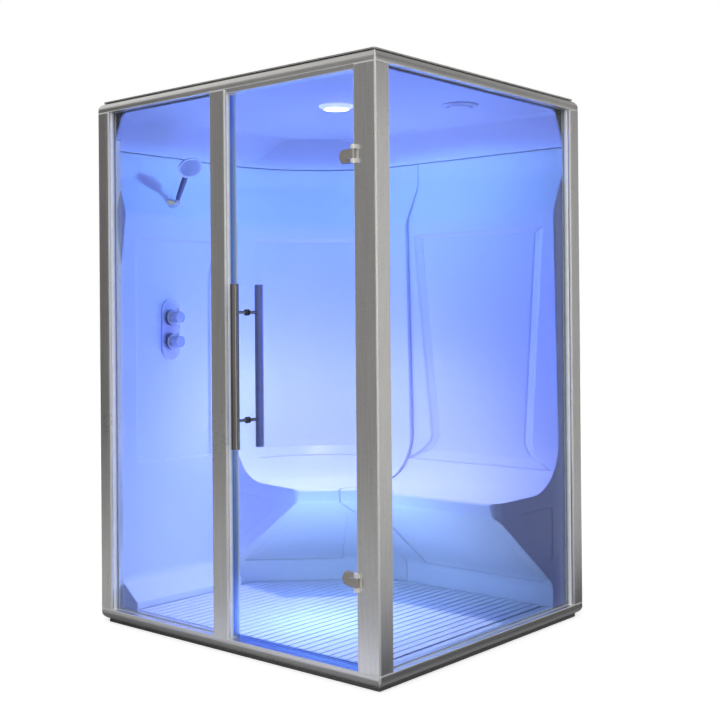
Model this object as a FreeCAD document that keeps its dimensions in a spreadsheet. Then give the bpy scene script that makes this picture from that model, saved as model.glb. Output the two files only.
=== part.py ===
import FreeCAD, Part
import math
import os
import Sketcher

# Steam shower cabin: a metal frame with a fixed pane, a hinged glass door and a side pane,
# moulded walls with a corner seat and a bench, a moulded ceiling and a slatted floor.
# Millimetres. +Z is up, the door faces -Y, and the glass side faces +X.
# The origin is the middle of the whole object's footprint, at the floor.

Vector = FreeCAD.Vector
doc = FreeCAD.newDocument("SteamShowerCabin")
nodes = []

# ---------------------------------------------------------------------------------------
# Driving dimensions
# ---------------------------------------------------------------------------------------
DRIVING = {
    # cabin and frame
    "cabin_width": 1500,
    "cabin_depth": 1320,
    "cabin_height": 2150,
    "frame_depth": 60,
    "cap_thickness": 5,
    "cap_inset": 17,
    "cap_rounding": 7,
    "top_rail_height": 44,
    "rail_rounding": 34,
    "sill_height": 58,
    "plinth_height": 12,
    "plinth_inset": 22,
    "plinth_wall": 26,
    "plinth_rounding": 7,
    "left_post_width": 70,
    "fixed_bay_width": 613,
    "mullion_width": 85,
    "corner_post_width": 100,
    "corner_post_side": 70,
    "side_post_side": 70,
    "side_post_depth": 40,
    "rear_post_size": 38,
    "post_wall": 3,
    "post_bevel": 4,
    "cladding_thickness": 3,
    "cladding_inset": 2,
    # glazing
    "glass_thickness": 8,
    "glass_setback": 28,
    "gasket_wall": 2,
    "groove_depth": 12,
    "glass_bite": 9,
    # door
    "door_strike_gap": 6,
    "door_hinge_gap": 6,
    "door_floor_gap": 8,
    "header_drop": 15,
    "header_gap": 4,
    "header_depth": 20,
    "header_lead": 8,
    "seal_wall": 2,
    "seal_bite": 10,
    "strike_seal_play": 2.5,
    "sweep_play": 1.5,
    # hinges
    "lower_hinge_height": 359,
    "upper_hinge_drop": 285,
    "hinge_height": 62,
    "hinge_lug_height": 15,
    "hinge_axis_inset": 9,
    "barrel_radius": 9.5,
    "barrel_play": 1,
    "pin_radius": 4,
    "pin_play": 0.05,
    "pin_head_radius": 6,
    "pin_head_height": 2,
    "clamp_height": 46,
    "clamp_reach": 74,
    "clamp_thickness": 8,
    "clamp_arm_width": 14,
    "clamp_post_play": 3,
    "inner_plate_thickness": 6,
    "clamp_pad": 1,
    "screw_head_radius": 6,
    "screw_head_height": 2.5,
    "screw_radius": 3,
    "screw_hole_radius": 5,
    # handle
    "handle_radius": 16,
    "handle_length": 604,
    "handle_stud_spacing": 397,
    "handle_height": 1072,
    "handle_inset": 73,
    "handle_standoff": 58,
    "stud_radius": 6,
    "stud_play": 0.05,
    "stud_depth": 10,
    "glass_hole_radius": 8,
    "bushing_radius": 12,
    "bushing_thickness": 6,
    # moulded walls
    "left_wall_setback": 50,
    "back_wall_setback": 60,
    "skin": 5,
    "wall_joint_drop": 147,
    "shoulder_top_drop": 98,
    "shoulder_low_drop": 268,
    "shoulder_bulge": 78,
    "shoulder_rounding": 90,
    "bulge_rounding": 110,
    "lumbar_depth": 47,
    "corner_radius": 550,
    "corner_module_width": 650,
    "corner_end_back": 585,
    "corner_end_front": 690,
    "corner_seat_end": 530,
    "recess_top_drop": 348,
    "recess_foot": 640,
    "recess_depth": 14,
    "recess_margin": 67,
    "corner_step": 18,
    "module_gap": 3,
    # seats
    "seat_height": 530,
    "seat_depth": 505,
    "seat_cove": 200,
    "seat_bend": 710,
    "seat_edge_rounding": 12,
    "seat_corner_rounding": 50,
    "lip_height": 52,
    "lip_lean": 10,
    "lip_rounding": 6,
    "apron_foot_height": 158,
    "kick_setback": 400,
    "kick_rounding": 60,
    "apron_panel_depth": 6,
    "apron_panel_drop": 36,
    "apron_panel_rounding": 55,
    "apron_panel_margin": 45,
    "cheek_depth": 4,
    "cheek_margin": 100,
    "cheek_front_rounding": 26,
    "cheek_rounding": 18,
    # left wall panel
    "left_bulge": 52,
    "left_relief": 10,
    "left_relief_drop": 528,
    "left_shoulder_rounding": 80,
    "left_bulge_rounding": 60,
    "left_relief_rounding": 200,
    "left_bulge_lift": 10,
    "skirt_reach": 110,
    "skirt_height": 165,
    "skirt_edge_height": 88,
    "skirt_cove": 40,
    "skirt_edge_rounding": 6,
    "left_recess_front": 85,
    "left_recess_back": 500,
    # ceiling
    "ceiling_drop": 55,
    "ceiling_skin": 6,
    "ceiling_lean": 70,
    "ceiling_cove": 40,
    "ceiling_glass_gap": 2,
    # floor
    "tray_floor_height": 30,
    "tray_thickness": 8,
    "basin_front": 6,
    "basin_right": 30,
    "floor_play": 2,
    "slat_pitch": 40,
    "slat_width": 33,
    "slat_thickness": 18,
    "slat_rise": 2,
    "bearer_width": 30,
    "bearer_height": 12,
    "drain_x": -250,
    "drain_back": 700,
    "drain_flange_radius": 57,
    "drain_flange_height": 3,
    "drain_outlet_radius": 25,
    "drain_bore_radius": 21,
    "drain_floor_gap": 4,
    "grate_radius": 46,
    "grate_height": 2,
    "grate_bars": 7,
    "foot_radius": 22,
    "foot_inset": 90,
    # ceiling fittings
    "lamp_x": 118,
    "lamp_back": 806,
    "lamp_bezel_radius": 70,
    "lamp_hole_radius": 56,
    "lamp_lens_radius": 50,
    "lamp_drop": 14,
    "lamp_can_height": 34,
    "vent_x": 491,
    "vent_back": 484,
    "vent_ring_radius": 74,
    "vent_hole_radius": 55,
    "vent_disc_radius": 48,
    "vent_drop": 9,
    "vent_travel": 12,
    # mixer
    "mixer_back": 984,
    "mixer_height": 1205,
    "mixer_plate_width": 98,
    "mixer_plate_height": 260,
    "mixer_plate_thickness": 8,
    "knob_spacing": 104,
    "knob_radius": 34,
    "knob_cap_radius": 25,
    "knob_collar_length": 14,
    "knob_grip_length": 30,
    "knob_length": 59,
    "knob_gap": 1,
    "bonnet_radius": 15,
    "spindle_radius": 6,
    "spindle_play": 0.05,
    "lever_radius": 4.5,
    "lever_length": 13,
    "inlet_spacing": 150,
    "inlet_radius": 13,
    "inlet_bore_radius": 9.3,
    "inlet_bore_depth": 16,
    # shower
    "shower_back": 993,
    "shower_drop": 198,
    "shower_reach": 60,
    "shower_pipe_radius": 11,
    "shower_ear_radius": 12,
    "shower_ear_spread": 26,
    "shower_foot_radius": 11,
    "shower_foot_width": 13,
    "shower_foot_play": 0.3,
    "shower_axle_radius": 3,
    "shower_axle_play": 0.05,
    "shower_neck_radius": 5.5,
    "shower_neck_length": 15,
    "shower_flange_radius": 31,
    "shower_arm_length": 142,
    "shower_grip_radius": 9,
    "shower_arm_lean": 42,
    "shower_turn": 16,
    "shower_head_radius": 51,
    "shower_head_lead": 16,
    "shower_head_thickness": 16,
    "shower_face_tilt": 46,
    # steam
    "steam_along": 85,
    "steam_height": 98,
    "steam_radius": 28,
    "steam_reach": 22,
    "steam_bevel": 8,
    "steam_tail": 40,
    "steam_pipe_radius": 11,
    "steam_bore_radius": 8,
}

sheet = doc.addObject("Spreadsheet::Sheet", "Sizes")
for row, (alias, number) in enumerate(DRIVING.items(), start=1):
    sheet.set(f"A{row}", alias)
    sheet.set(f"B{row}", str(number))
    sheet.setAlias(f"B{row}", alias)
doc.recompute()


class Size:
    """A length that knows its value and the formula that binds it to the sheet."""

    def __init__(self, value, text):
        self.value = value
        self.text = text

    def __add__(self, other):
        other = as_size(other)
        return Size(self.value + other.value, f"({self.text} + {other.text})")

    def __sub__(self, other):
        other = as_size(other)
        return Size(self.value - other.value, f"({self.text} - {other.text})")

    def __mul__(self, factor):
        return Size(self.value * factor, f"({self.text} * {factor})")

    def __truediv__(self, factor):
        return Size(self.value / factor, f"({self.text} / {factor})")

    def __neg__(self):
        return Size(-self.value, f"(-1 * {self.text})")


def as_size(item):
    return item if isinstance(item, Size) else Size(float(item), str(item))


def cell(alias):
    return Size(float(sheet.get(alias)), f"Sizes.{alias}")


def num(alias):
    return float(sheet.get(alias))


def bind(item, path, size):
    item.setExpression(path, size.text)


def place(item, x, y, z):
    for axis, size in zip("xyz", (x, y, z)):
        bind(item, f".Placement.Base.{axis}", as_size(size))


def register(item, name):
    item.Label = name
    nodes.append(item)
    return item


# ---------------------------------------------------------------------------------------
# Building blocks
# ---------------------------------------------------------------------------------------
def origin_plane(body, role):
    return next(item for item in body.Origin.OriginFeatures if item.Role == role)


def pin_point(sketch, geometry, end, x, y):
    """Fix one end of a line, or a circle's centre, at x and y from the sketch's origin."""
    for kind, size in (("DistanceX", x), ("DistanceY", y)):
        index = sketch.addConstraint(Sketcher.Constraint(kind, geometry, end, size.value))
        sketch.setExpression(f"Constraints[{index}]", size.text)


def draw(body, name, role, offset, loops, circles=()):
    """Closed outlines of straight lines and full circles on one of the body's planes."""
    sketch = body.newObject("Sketcher::SketchObject", name)
    sketch.AttachmentSupport = (origin_plane(body, role), [""])
    sketch.MapMode = "FlatFace"
    bind(sketch, ".AttachmentOffset.Base.z", as_size(offset))
    for loop in loops:
        loop = [(as_size(x), as_size(y)) for x, y in loop]
        first = sketch.GeometryCount
        for start, end in zip(loop, loop[1:] + loop[:1]):
            line = Part.LineSegment(Vector(start[0].value, start[1].value, 0),
                                    Vector(end[0].value, end[1].value, 0))
            sketch.addGeometry(line, False)
        for index in range(len(loop)):
            following = first + (index + 1) % len(loop)
            sketch.addConstraint(Sketcher.Constraint("Coincident", first + index, 2, following, 1))
        for index, (x, y) in enumerate(loop):
            pin_point(sketch, first + index, 1, x, y)
    for x, y, radius in circles:
        x, y, radius = as_size(x), as_size(y), as_size(radius)
        circle = Part.Circle(Vector(x.value, y.value, 0), Vector(0, 0, 1), radius.value)
        index = sketch.addGeometry(circle, False)
        pin_point(sketch, index, 3, x, y)
        ring = sketch.addConstraint(Sketcher.Constraint("Radius", index, radius.value))
        sketch.setExpression(f"Constraints[{ring}]", radius.text)
    return sketch


def extrusion(name, axis, low, high, loops, circles=()):
    """A straight prism between two places along X, Y or Z."""
    low, high = as_size(low), as_size(high)
    body = doc.addObject("PartDesign::Body", name)
    role, offset = {"x": ("YZ_Plane", low), "y": ("XZ_Plane", -high), "z": ("XY_Plane", low)}[axis]
    pad = body.newObject("PartDesign::Pad", f"{name}_pad")
    pad.Profile = draw(body, f"{name}_outline", role, offset, loops, circles)
    bind(pad, "Length", high - low)
    doc.recompute()
    return body


def pocket(body, name, role, offset, depth, loops=(), circles=()):
    """A cut into a body, from a plane across it; the volume must drop."""
    before = body.Shape.Volume
    cut = body.newObject("PartDesign::Pocket", name)
    cut.Profile = draw(body, f"{name}_outline", role, offset, loops, circles)
    bind(cut, "Length", as_size(depth))
    doc.recompute()
    if not body.Shape.Volume < before:
        raise RuntimeError(f"{name} cuts nothing")
    return cut


def edges_where(shape, wanted, axis):
    """Names of the edges along an axis whose two ends both satisfy a test."""
    found = []
    for index, edge in enumerate(shape.Edges, start=1):
        reach = edge.BoundBox
        along = {"x": reach.XLength, "y": reach.YLength, "z": reach.ZLength}[axis]
        if along < edge.Length - 0.01:
            continue
        if len(edge.Vertexes) == 2 and all(wanted(v.Point) for v in edge.Vertexes):
            found.append(f"Edge{index}")
    return found


def soften(body, kind, size, wanted, axis="z"):
    """Fillet or chamfer the edges of a body's last feature that satisfy a test."""
    base = body.Tip
    feature = body.newObject(f"PartDesign::{kind}", f"{body.Name}_{kind.lower()}")
    feature.Base = (base, edges_where(base.Shape, wanted, axis))
    bind(feature, {"Fillet": "Radius", "Chamfer": "Size"}[kind], size)
    doc.recompute()
    return feature


def turned(name, outline, x, y, z, direction):
    """A body of revolution: outline of (radius, height), stood along a direction."""
    body = doc.addObject("PartDesign::Body", name)
    sketch = draw(body, f"{name}_outline", "XZ_Plane", 0, [outline])
    turn = body.newObject("PartDesign::Revolution", f"{name}_turn")
    turn.Profile = sketch
    turn.ReferenceAxis = (sketch, ["V_Axis"])
    turn.Angle = 360
    body.Placement = FreeCAD.Placement(Vector(), FreeCAD.Rotation(Vector(0, 0, 1), direction))
    place(body, x, y, z)
    doc.recompute()
    return body


def box(name, x, y, z):
    """A block between two places on each axis."""
    item = doc.addObject("Part::Box", name)
    lows = []
    for path, (low, high) in zip(("Length", "Width", "Height"), (x, y, z)):
        low, high = as_size(low), as_size(high)
        bind(item, path, high - low)
        lows.append(low)
    place(item, *lows)
    return item


def cylinder(name, x, y, z, radius, length, direction=Vector(0, 0, 1)):
    item = doc.addObject("Part::Cylinder", name)
    bind(item, "Radius", as_size(radius))
    bind(item, "Height", as_size(length))
    item.Placement = FreeCAD.Placement(Vector(), FreeCAD.Rotation(Vector(0, 0, 1), direction))
    place(item, x, y, z)
    return item


def cut(name, base, *tools):
    for index, tool in enumerate(tools):
        item = doc.addObject("Part::Cut", f"{name}_cut{index}")
        item.Base = base
        item.Tool = tool
        base = item
    doc.recompute()
    return base


def joined(name, items):
    item = doc.addObject("Part::MultiFuse", name)
    item.Shapes = items
    doc.recompute()
    return item


def group(name, items):
    """Separate solids that share one node."""
    item = doc.addObject("Part::Compound", name)
    item.Links = items
    doc.recompute()
    return item


def shaped(name, shape):
    """A node whose form needs code: mitred rings and moulded shells."""
    item = doc.addObject("Part::Feature", name)
    item.Shape = shape
    item.Placement = FreeCAD.Placement()
    return register(item, name)


# ---------------------------------------------------------------------------------------
# Places that everything shares
# ---------------------------------------------------------------------------------------
handle_reach = cell("handle_standoff") + cell("handle_radius") - cell("glass_setback")
left = -cell("cabin_width") / 2
right = cell("cabin_width") / 2
front = (handle_reach - cell("cabin_depth")) / 2
back = front + cell("cabin_depth")

frame_back = front + cell("frame_depth")
sill_top = cell("sill_height")
cap_foot = cell("cabin_height") - cell("cap_thickness")
head_foot = cap_foot - cell("top_rail_height")

fixed_left = left + cell("left_post_width")
fixed_right = fixed_left + cell("fixed_bay_width")
bay_left = fixed_right + cell("mullion_width")
bay_right = right - cell("corner_post_width")
side_front = front + cell("corner_post_side")
side_back = back - cell("side_post_side")

glass_face = front + cell("glass_setback")
glass_rear = glass_face + cell("glass_thickness")
side_glass_face = right - cell("glass_setback")
side_glass_rear = side_glass_face - cell("glass_thickness")
groove_low = glass_face - cell("gasket_wall")
groove_high = glass_rear + cell("gasket_wall")
side_groove_high = side_glass_face + cell("gasket_wall")
side_groove_low = side_glass_rear - cell("gasket_wall")

door_left = bay_left + cell("door_strike_gap")
door_right = bay_right - cell("door_hinge_gap")
door_foot = sill_top + cell("door_floor_gap")
door_head = head_foot - cell("header_drop") - cell("header_gap")

left_wall = left + cell("left_wall_setback")
back_wall = back - cell("back_wall_setback")
left_cladding = left + cell("cladding_inset") + cell("cladding_thickness")
back_cladding = back - cell("cladding_inset") - cell("cladding_thickness")
module_right = right - cell("side_post_depth")
seat_front = back_wall - cell("seat_depth")
bend_x = left_wall + cell("seat_bend")

ceiling_z = cell("cabin_height") - cell("ceiling_drop")
joint_z = ceiling_z - cell("wall_joint_drop")
shoulder_top = joint_z - cell("shoulder_top_drop")
shoulder_low = joint_z - cell("shoulder_low_drop")
recess_top = joint_z - cell("recess_top_drop")
left_relief_z = joint_z - cell("left_relief_drop")

mixer_y = back - cell("mixer_back")
mixer_z = cell("mixer_height")
knob_heights = {"upper": mixer_z + cell("knob_spacing") / 2, "lower": mixer_z - cell("knob_spacing") / 2}
inlet_heights = {"hot": mixer_z + cell("inlet_spacing") / 2, "cold": mixer_z - cell("inlet_spacing") / 2}
shower_y = back - cell("shower_back")
shower_z = joint_z - cell("shower_drop")

SLOPE = 1 / math.sqrt(2)
steam_x = bend_x + (cell("steam_along") - cell("kick_setback")) * SLOPE
steam_y = seat_front + (cell("steam_along") + cell("kick_setback")) * SLOPE
steam_z = cell("steam_height")
steam_way = Vector(SLOPE, -SLOPE, 0)


# ---------------------------------------------------------------------------------------
# Frame
# ---------------------------------------------------------------------------------------
def bevelled_block(low, high):
    """The frame's whole footprint with its four upright corners bevelled like the posts."""
    bevel = num("post_bevel")
    outline = []
    for x, y, step in ((left, front, 1), (right, front, -1), (right, back, 1), (left, back, -1)):
        across = bevel if x is left else -bevel
        inward = bevel if y is front else -bevel
        ends = [Vector(x.value, y.value + inward, low), Vector(x.value + across, y.value, low)]
        outline += ends[::step]
    return Part.Face(Part.makePolygon(outline + outline[:1])).extrude(Vector(0, 0, high - low))


def rail_ring(low, high, rounded_height, groove_from, groove_to):
    """Four mitred rails as one ring: one rounded long edge, bevelled upright corners."""
    width, depth = right.value - left.value, back.value - front.value
    ring = Part.makeBox(width, depth, high - low, Vector(left.value, front.value, low))
    rim = [e for e in ring.Edges if abs(e.BoundBox.ZMin - rounded_height) < 0.01
           and abs(e.BoundBox.ZMax - rounded_height) < 0.01]
    ring = ring.makeFillet(num("rail_rounding"), rim)
    ring = ring.common(bevelled_block(low, high))
    inset = num("frame_depth")
    opening = Part.makeBox(width - 2 * inset, depth - 2 * inset, high - low,
                           Vector(left.value + inset, front.value + inset, low))
    reach = num("groove_depth")
    front_groove = Part.makeBox(fixed_right.value - fixed_left.value + 2 * reach,
                                groove_high.value - groove_low.value, groove_to - groove_from,
                                Vector(fixed_left.value - reach, groove_low.value, groove_from))
    side_groove = Part.makeBox(side_groove_high.value - side_groove_low.value,
                               side_back.value - side_front.value + 2 * reach, groove_to - groove_from,
                               Vector(side_groove_low.value, side_front.value - reach, groove_from))
    return ring.cut(opening).cut(front_groove).cut(side_groove)


def mitred_rails(ring, names):
    """Split a ring of rails at its four 45 degree mitres."""
    inset = num("frame_depth")
    outer = [Vector(left.value, front.value, 0), Vector(right.value, front.value, 0),
             Vector(right.value, back.value, 0), Vector(left.value, back.value, 0)]
    inner = [Vector(left.value + inset, front.value + inset, 0),
             Vector(right.value - inset, front.value + inset, 0),
             Vector(right.value - inset, back.value - inset, 0),
             Vector(left.value + inset, back.value - inset, 0)]
    for side, name in enumerate(names):
        following = (side + 1) % 4
        outline = [outer[side], outer[following], inner[following], inner[side], outer[side]]
        wedge = Part.Face(Part.makePolygon(outline)).extrude(Vector(0, 0, num("cabin_height")))
        shaped(name, ring.common(wedge).removeSplitter())


sill_ring = rail_ring(num("plinth_height"), sill_top.value, num("plinth_height"),
                      sill_top.value - num("groove_depth"), sill_top.value)
mitred_rails(sill_ring, ["front_sill", "right_sill", "rear_sill", "left_sill"])
head_ring = rail_ring(head_foot.value, cap_foot.value, cap_foot.value,
                      head_foot.value, head_foot.value + num("groove_depth"))
mitred_rails(head_ring, ["front_top_rail", "right_top_rail", "rear_top_rail", "left_top_rail"])


def rectangle(x0, x1, y0, y1):
    return [(x0, y0), (x1, y0), (x1, y1), (x0, y1)]


# Plinth: a ring set back under the sill.
plinth_left = left + cell("plinth_inset")
plinth_right = right - cell("plinth_inset")
plinth_front = front + cell("plinth_inset")
plinth_back = back - cell("plinth_inset")
plinth_wall = cell("plinth_wall")
plinth = extrusion("base_plinth", "z", 0, cell("plinth_height"), [
    rectangle(plinth_left, plinth_right, plinth_front, plinth_back),
    rectangle(plinth_left + plinth_wall, plinth_right - plinth_wall,
              plinth_front + plinth_wall, plinth_back - plinth_wall)])
soften(plinth, "Fillet", cell("plinth_rounding"),
       lambda p: abs(p.x) > right.value - num("plinth_inset") - 1
       and (p.y < plinth_front.value + 1 or p.y > plinth_back.value - 1))
register(plinth, "base_plinth")

# Posts: hollow extrusions with a groove where they hold a fixed pane.
wall = cell("post_wall")
groove = cell("groove_depth")


def bevel_front(body, xs, ys):
    """Bevel the long outside edges that stand at the given places."""
    def outside(point):
        return any(abs(point.x - x.value) < 0.01 and abs(point.y - y.value) < 0.01
                   for x in xs for y in ys)
    soften(body, "Chamfer", cell("post_bevel"), outside)


left_post = extrusion("front_left_post", "z", sill_top, head_foot, [
    [(left, front), (fixed_left, front), (fixed_left, groove_low), (fixed_left - groove, groove_low),
     (fixed_left - groove, groove_high), (fixed_left, groove_high), (fixed_left, frame_back),
     (left, frame_back)],
    rectangle(left + wall, fixed_left - groove - wall, front + wall, frame_back - wall)])
bevel_front(left_post, [left, fixed_left], [front])
register(left_post, "front_left_post")

mullion = extrusion("mullion", "z", sill_top, head_foot, [
    [(fixed_right, front), (bay_left, front), (bay_left, frame_back), (fixed_right, frame_back),
     (fixed_right, groove_high), (fixed_right + groove, groove_high),
     (fixed_right + groove, groove_low), (fixed_right, groove_low)],
    rectangle(fixed_right + groove + wall, bay_left - wall, front + wall, frame_back - wall)])
bevel_front(mullion, [fixed_right, bay_left], [front])
register(mullion, "mullion")

corner_post = extrusion("front_right_post", "z", sill_top, head_foot, [
    [(bay_right, front), (right, front), (right, side_front), (side_groove_high, side_front),
     (side_groove_high, side_front - groove), (side_groove_low, side_front - groove),
     (side_groove_low, side_front), (bay_right, side_front)],
    rectangle(bay_right + wall, right - wall, front + wall, side_front - groove - wall)])
bevel_front(corner_post, [bay_right, right], [front])
register(corner_post, "front_right_post")

side_post = extrusion("rear_right_post", "z", sill_top, head_foot, [
    [(module_right, side_back), (side_groove_low, side_back), (side_groove_low, side_back + groove),
     (side_groove_high, side_back + groove), (side_groove_high, side_back), (right, side_back),
     (right, back), (module_right, back)],
    rectangle(module_right + wall, right - wall, side_back + groove + wall, back - wall)])
bevel_front(side_post, [right], [side_back, back])
register(side_post, "rear_right_post")

rear_post_right = left + cell("rear_post_size")
rear_post_front = back - cell("rear_post_size")
rear_post = extrusion("rear_left_post", "z", sill_top, head_foot, [
    rectangle(left, rear_post_right, rear_post_front, back),
    rectangle(left + wall, rear_post_right - wall, rear_post_front + wall, back - wall)])
bevel_front(rear_post, [left], [back])
register(rear_post, "rear_left_post")

cap_inset = cell("cap_inset")
roof_cap = extrusion("roof_cap", "z", cap_foot, cell("cabin_height"), [
    rectangle(left + cap_inset, right - cap_inset, front + cap_inset, back - cap_inset)])
soften(roof_cap, "Fillet", cell("cap_rounding"),
       lambda p: abs(p.x) > right.value - num("cap_inset") - 1
       and (p.y < front.value + num("cap_inset") + 1 or p.y > back.value - num("cap_inset") - 1))
register(roof_cap, "roof_cap")

# Cladding on the two sides that face the room's walls.
left_sheet = box("left_sheet", (left + cell("cladding_inset"), left_cladding),
                 (frame_back, rear_post_front), (sill_top, head_foot))
inlet_holes = [cylinder(f"{side}_sheet_hole", left, mixer_y, height,
                        cell("inlet_radius") + cell("clamp_pad"), cell("frame_depth"), Vector(1, 0, 0))
               for side, height in inlet_heights.items()]
register(cut("left_cladding", left_sheet, *inlet_holes), "left_cladding")
rear_y = (back_cladding, back - cell("cladding_inset"))
rear_sheet = box("rear_sheet", (rear_post_right, module_right), rear_y, (sill_top, head_foot))
# One tall sheet over two low ones, which stand either side of the steam pipe.
pipe_room = cell("steam_pipe_radius") + cell("clamp_pad")
pipe_half = pipe_room / SLOPE + cell("cladding_thickness")
pipe_exit = steam_x - (back_cladding - steam_y)
low_sheet_top = steam_z + pipe_room
pipe_notch = box("rear_sheet_notch", (pipe_exit - pipe_half, pipe_exit + pipe_half), rear_y,
                 (sill_top, low_sheet_top))
sheet_seam = box("rear_sheet_seam", (rear_post_right, module_right), rear_y,
                 (low_sheet_top, low_sheet_top + cell("seal_wall") / 2))
register(cut("rear_cladding", rear_sheet, pipe_notch, sheet_seam), "rear_cladding")

# ---------------------------------------------------------------------------------------
# Glazing
# ---------------------------------------------------------------------------------------
bite = cell("glass_bite")
fixed_x = (fixed_left - bite, fixed_right + bite)
side_y = (side_front - bite, side_back + bite)
pane_z = (sill_top - bite, head_foot + bite)
register(box("front_fixed_glass", fixed_x, (glass_face, glass_rear), pane_z), "front_fixed_glass")
register(box("side_glass", (side_glass_rear, side_glass_face), side_y, pane_z), "side_glass")

gasket_z = (sill_top - groove, head_foot + groove)
cover = cell("gasket_wall")
front_gasket = cut(
    "front_glass_gasket",
    box("front_gasket_block", (fixed_left - groove, fixed_right + groove),
        (groove_low, groove_high), gasket_z),
    box("front_gasket_window", (fixed_left + cover, fixed_right - cover),
        (front, frame_back), (sill_top + cover, head_foot - cover)),
    box("front_gasket_slot", fixed_x, (glass_face, glass_rear), pane_z))
register(front_gasket, "front_glass_gasket")
side_gasket = cut(
    "side_glass_gasket",
    box("side_gasket_block", (side_groove_low, side_groove_high),
        (side_front - groove, side_back + groove), gasket_z),
    box("side_gasket_window", (module_right - cover, right),
        (side_front + cover, side_back - cover), (sill_top + cover, head_foot - cover)),
    box("side_gasket_slot", (side_glass_rear, side_glass_face), side_y, pane_z))
register(side_gasket, "side_glass_gasket")

header_front = front + cell("header_lead")
register(box("door_header", (bay_left, bay_right),
             (header_front, header_front + cell("header_depth") + cell("glass_setback")),
             (head_foot - cell("header_drop"), head_foot)), "door_header")

# ---------------------------------------------------------------------------------------
# Door
# ---------------------------------------------------------------------------------------
hinge_x = bay_right + cell("hinge_axis_inset")
hinge_y = front - cell("barrel_radius") - cell("barrel_play")
hinge_heights = {"lower": cell("lower_hinge_height"), "upper": door_head - cell("upper_hinge_drop")}
clamp_right = bay_right - cell("clamp_post_play")
clamp_left = clamp_right - cell("clamp_reach") - cell("clamp_post_play")
screw_x = clamp_left + cell("clamp_reach") / 2 - cell("clamp_thickness")

handle_x = door_left + cell("handle_inset")
stud_heights = [cell("handle_height") - cell("handle_stud_spacing") / 2,
                cell("handle_height") + cell("handle_stud_spacing") / 2]

glass_holes = [(handle_x, height, cell("glass_hole_radius")) for height in stud_heights]
glass_holes += [(screw_x, height, cell("screw_hole_radius")) for height in hinge_heights.values()]
door_glass = extrusion("door_glass", "y", glass_face, glass_rear,
                       [rectangle(door_left, door_right, door_foot, door_head)], glass_holes)
register(door_glass, "door_glass")

# Edge seals: a channel on the glass with a lip towards the frame.
seal_wall = cell("seal_wall")
seal_left = bay_left + cell("strike_seal_play")
seal_right = door_left + cell("seal_bite")
strike_seal = extrusion("door_strike_seal", "z", door_foot, door_head, [
    [(seal_left, glass_face - seal_wall), (seal_right, glass_face - seal_wall),
     (seal_right, glass_face), (door_left, glass_face), (door_left, glass_rear),
     (seal_right, glass_rear), (seal_right, glass_rear + seal_wall),
     (seal_left, glass_rear + seal_wall)]])
register(strike_seal, "door_strike_seal")
sweep_foot = sill_top + cell("sweep_play")
sweep_top = door_foot + cell("seal_bite")
bottom_sweep = extrusion("door_bottom_sweep", "x", seal_right, door_right, [
    [(glass_face - seal_wall, sweep_foot + seal_wall), (glass_face, sweep_foot),
     (glass_rear, sweep_foot), (glass_rear + seal_wall, sweep_foot + seal_wall),
     (glass_rear + seal_wall, sweep_top), (glass_rear, sweep_top), (glass_rear, door_foot),
     (glass_face, door_foot), (glass_face, sweep_top), (glass_face - seal_wall, sweep_top)]])
register(bottom_sweep, "door_bottom_sweep")

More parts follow.
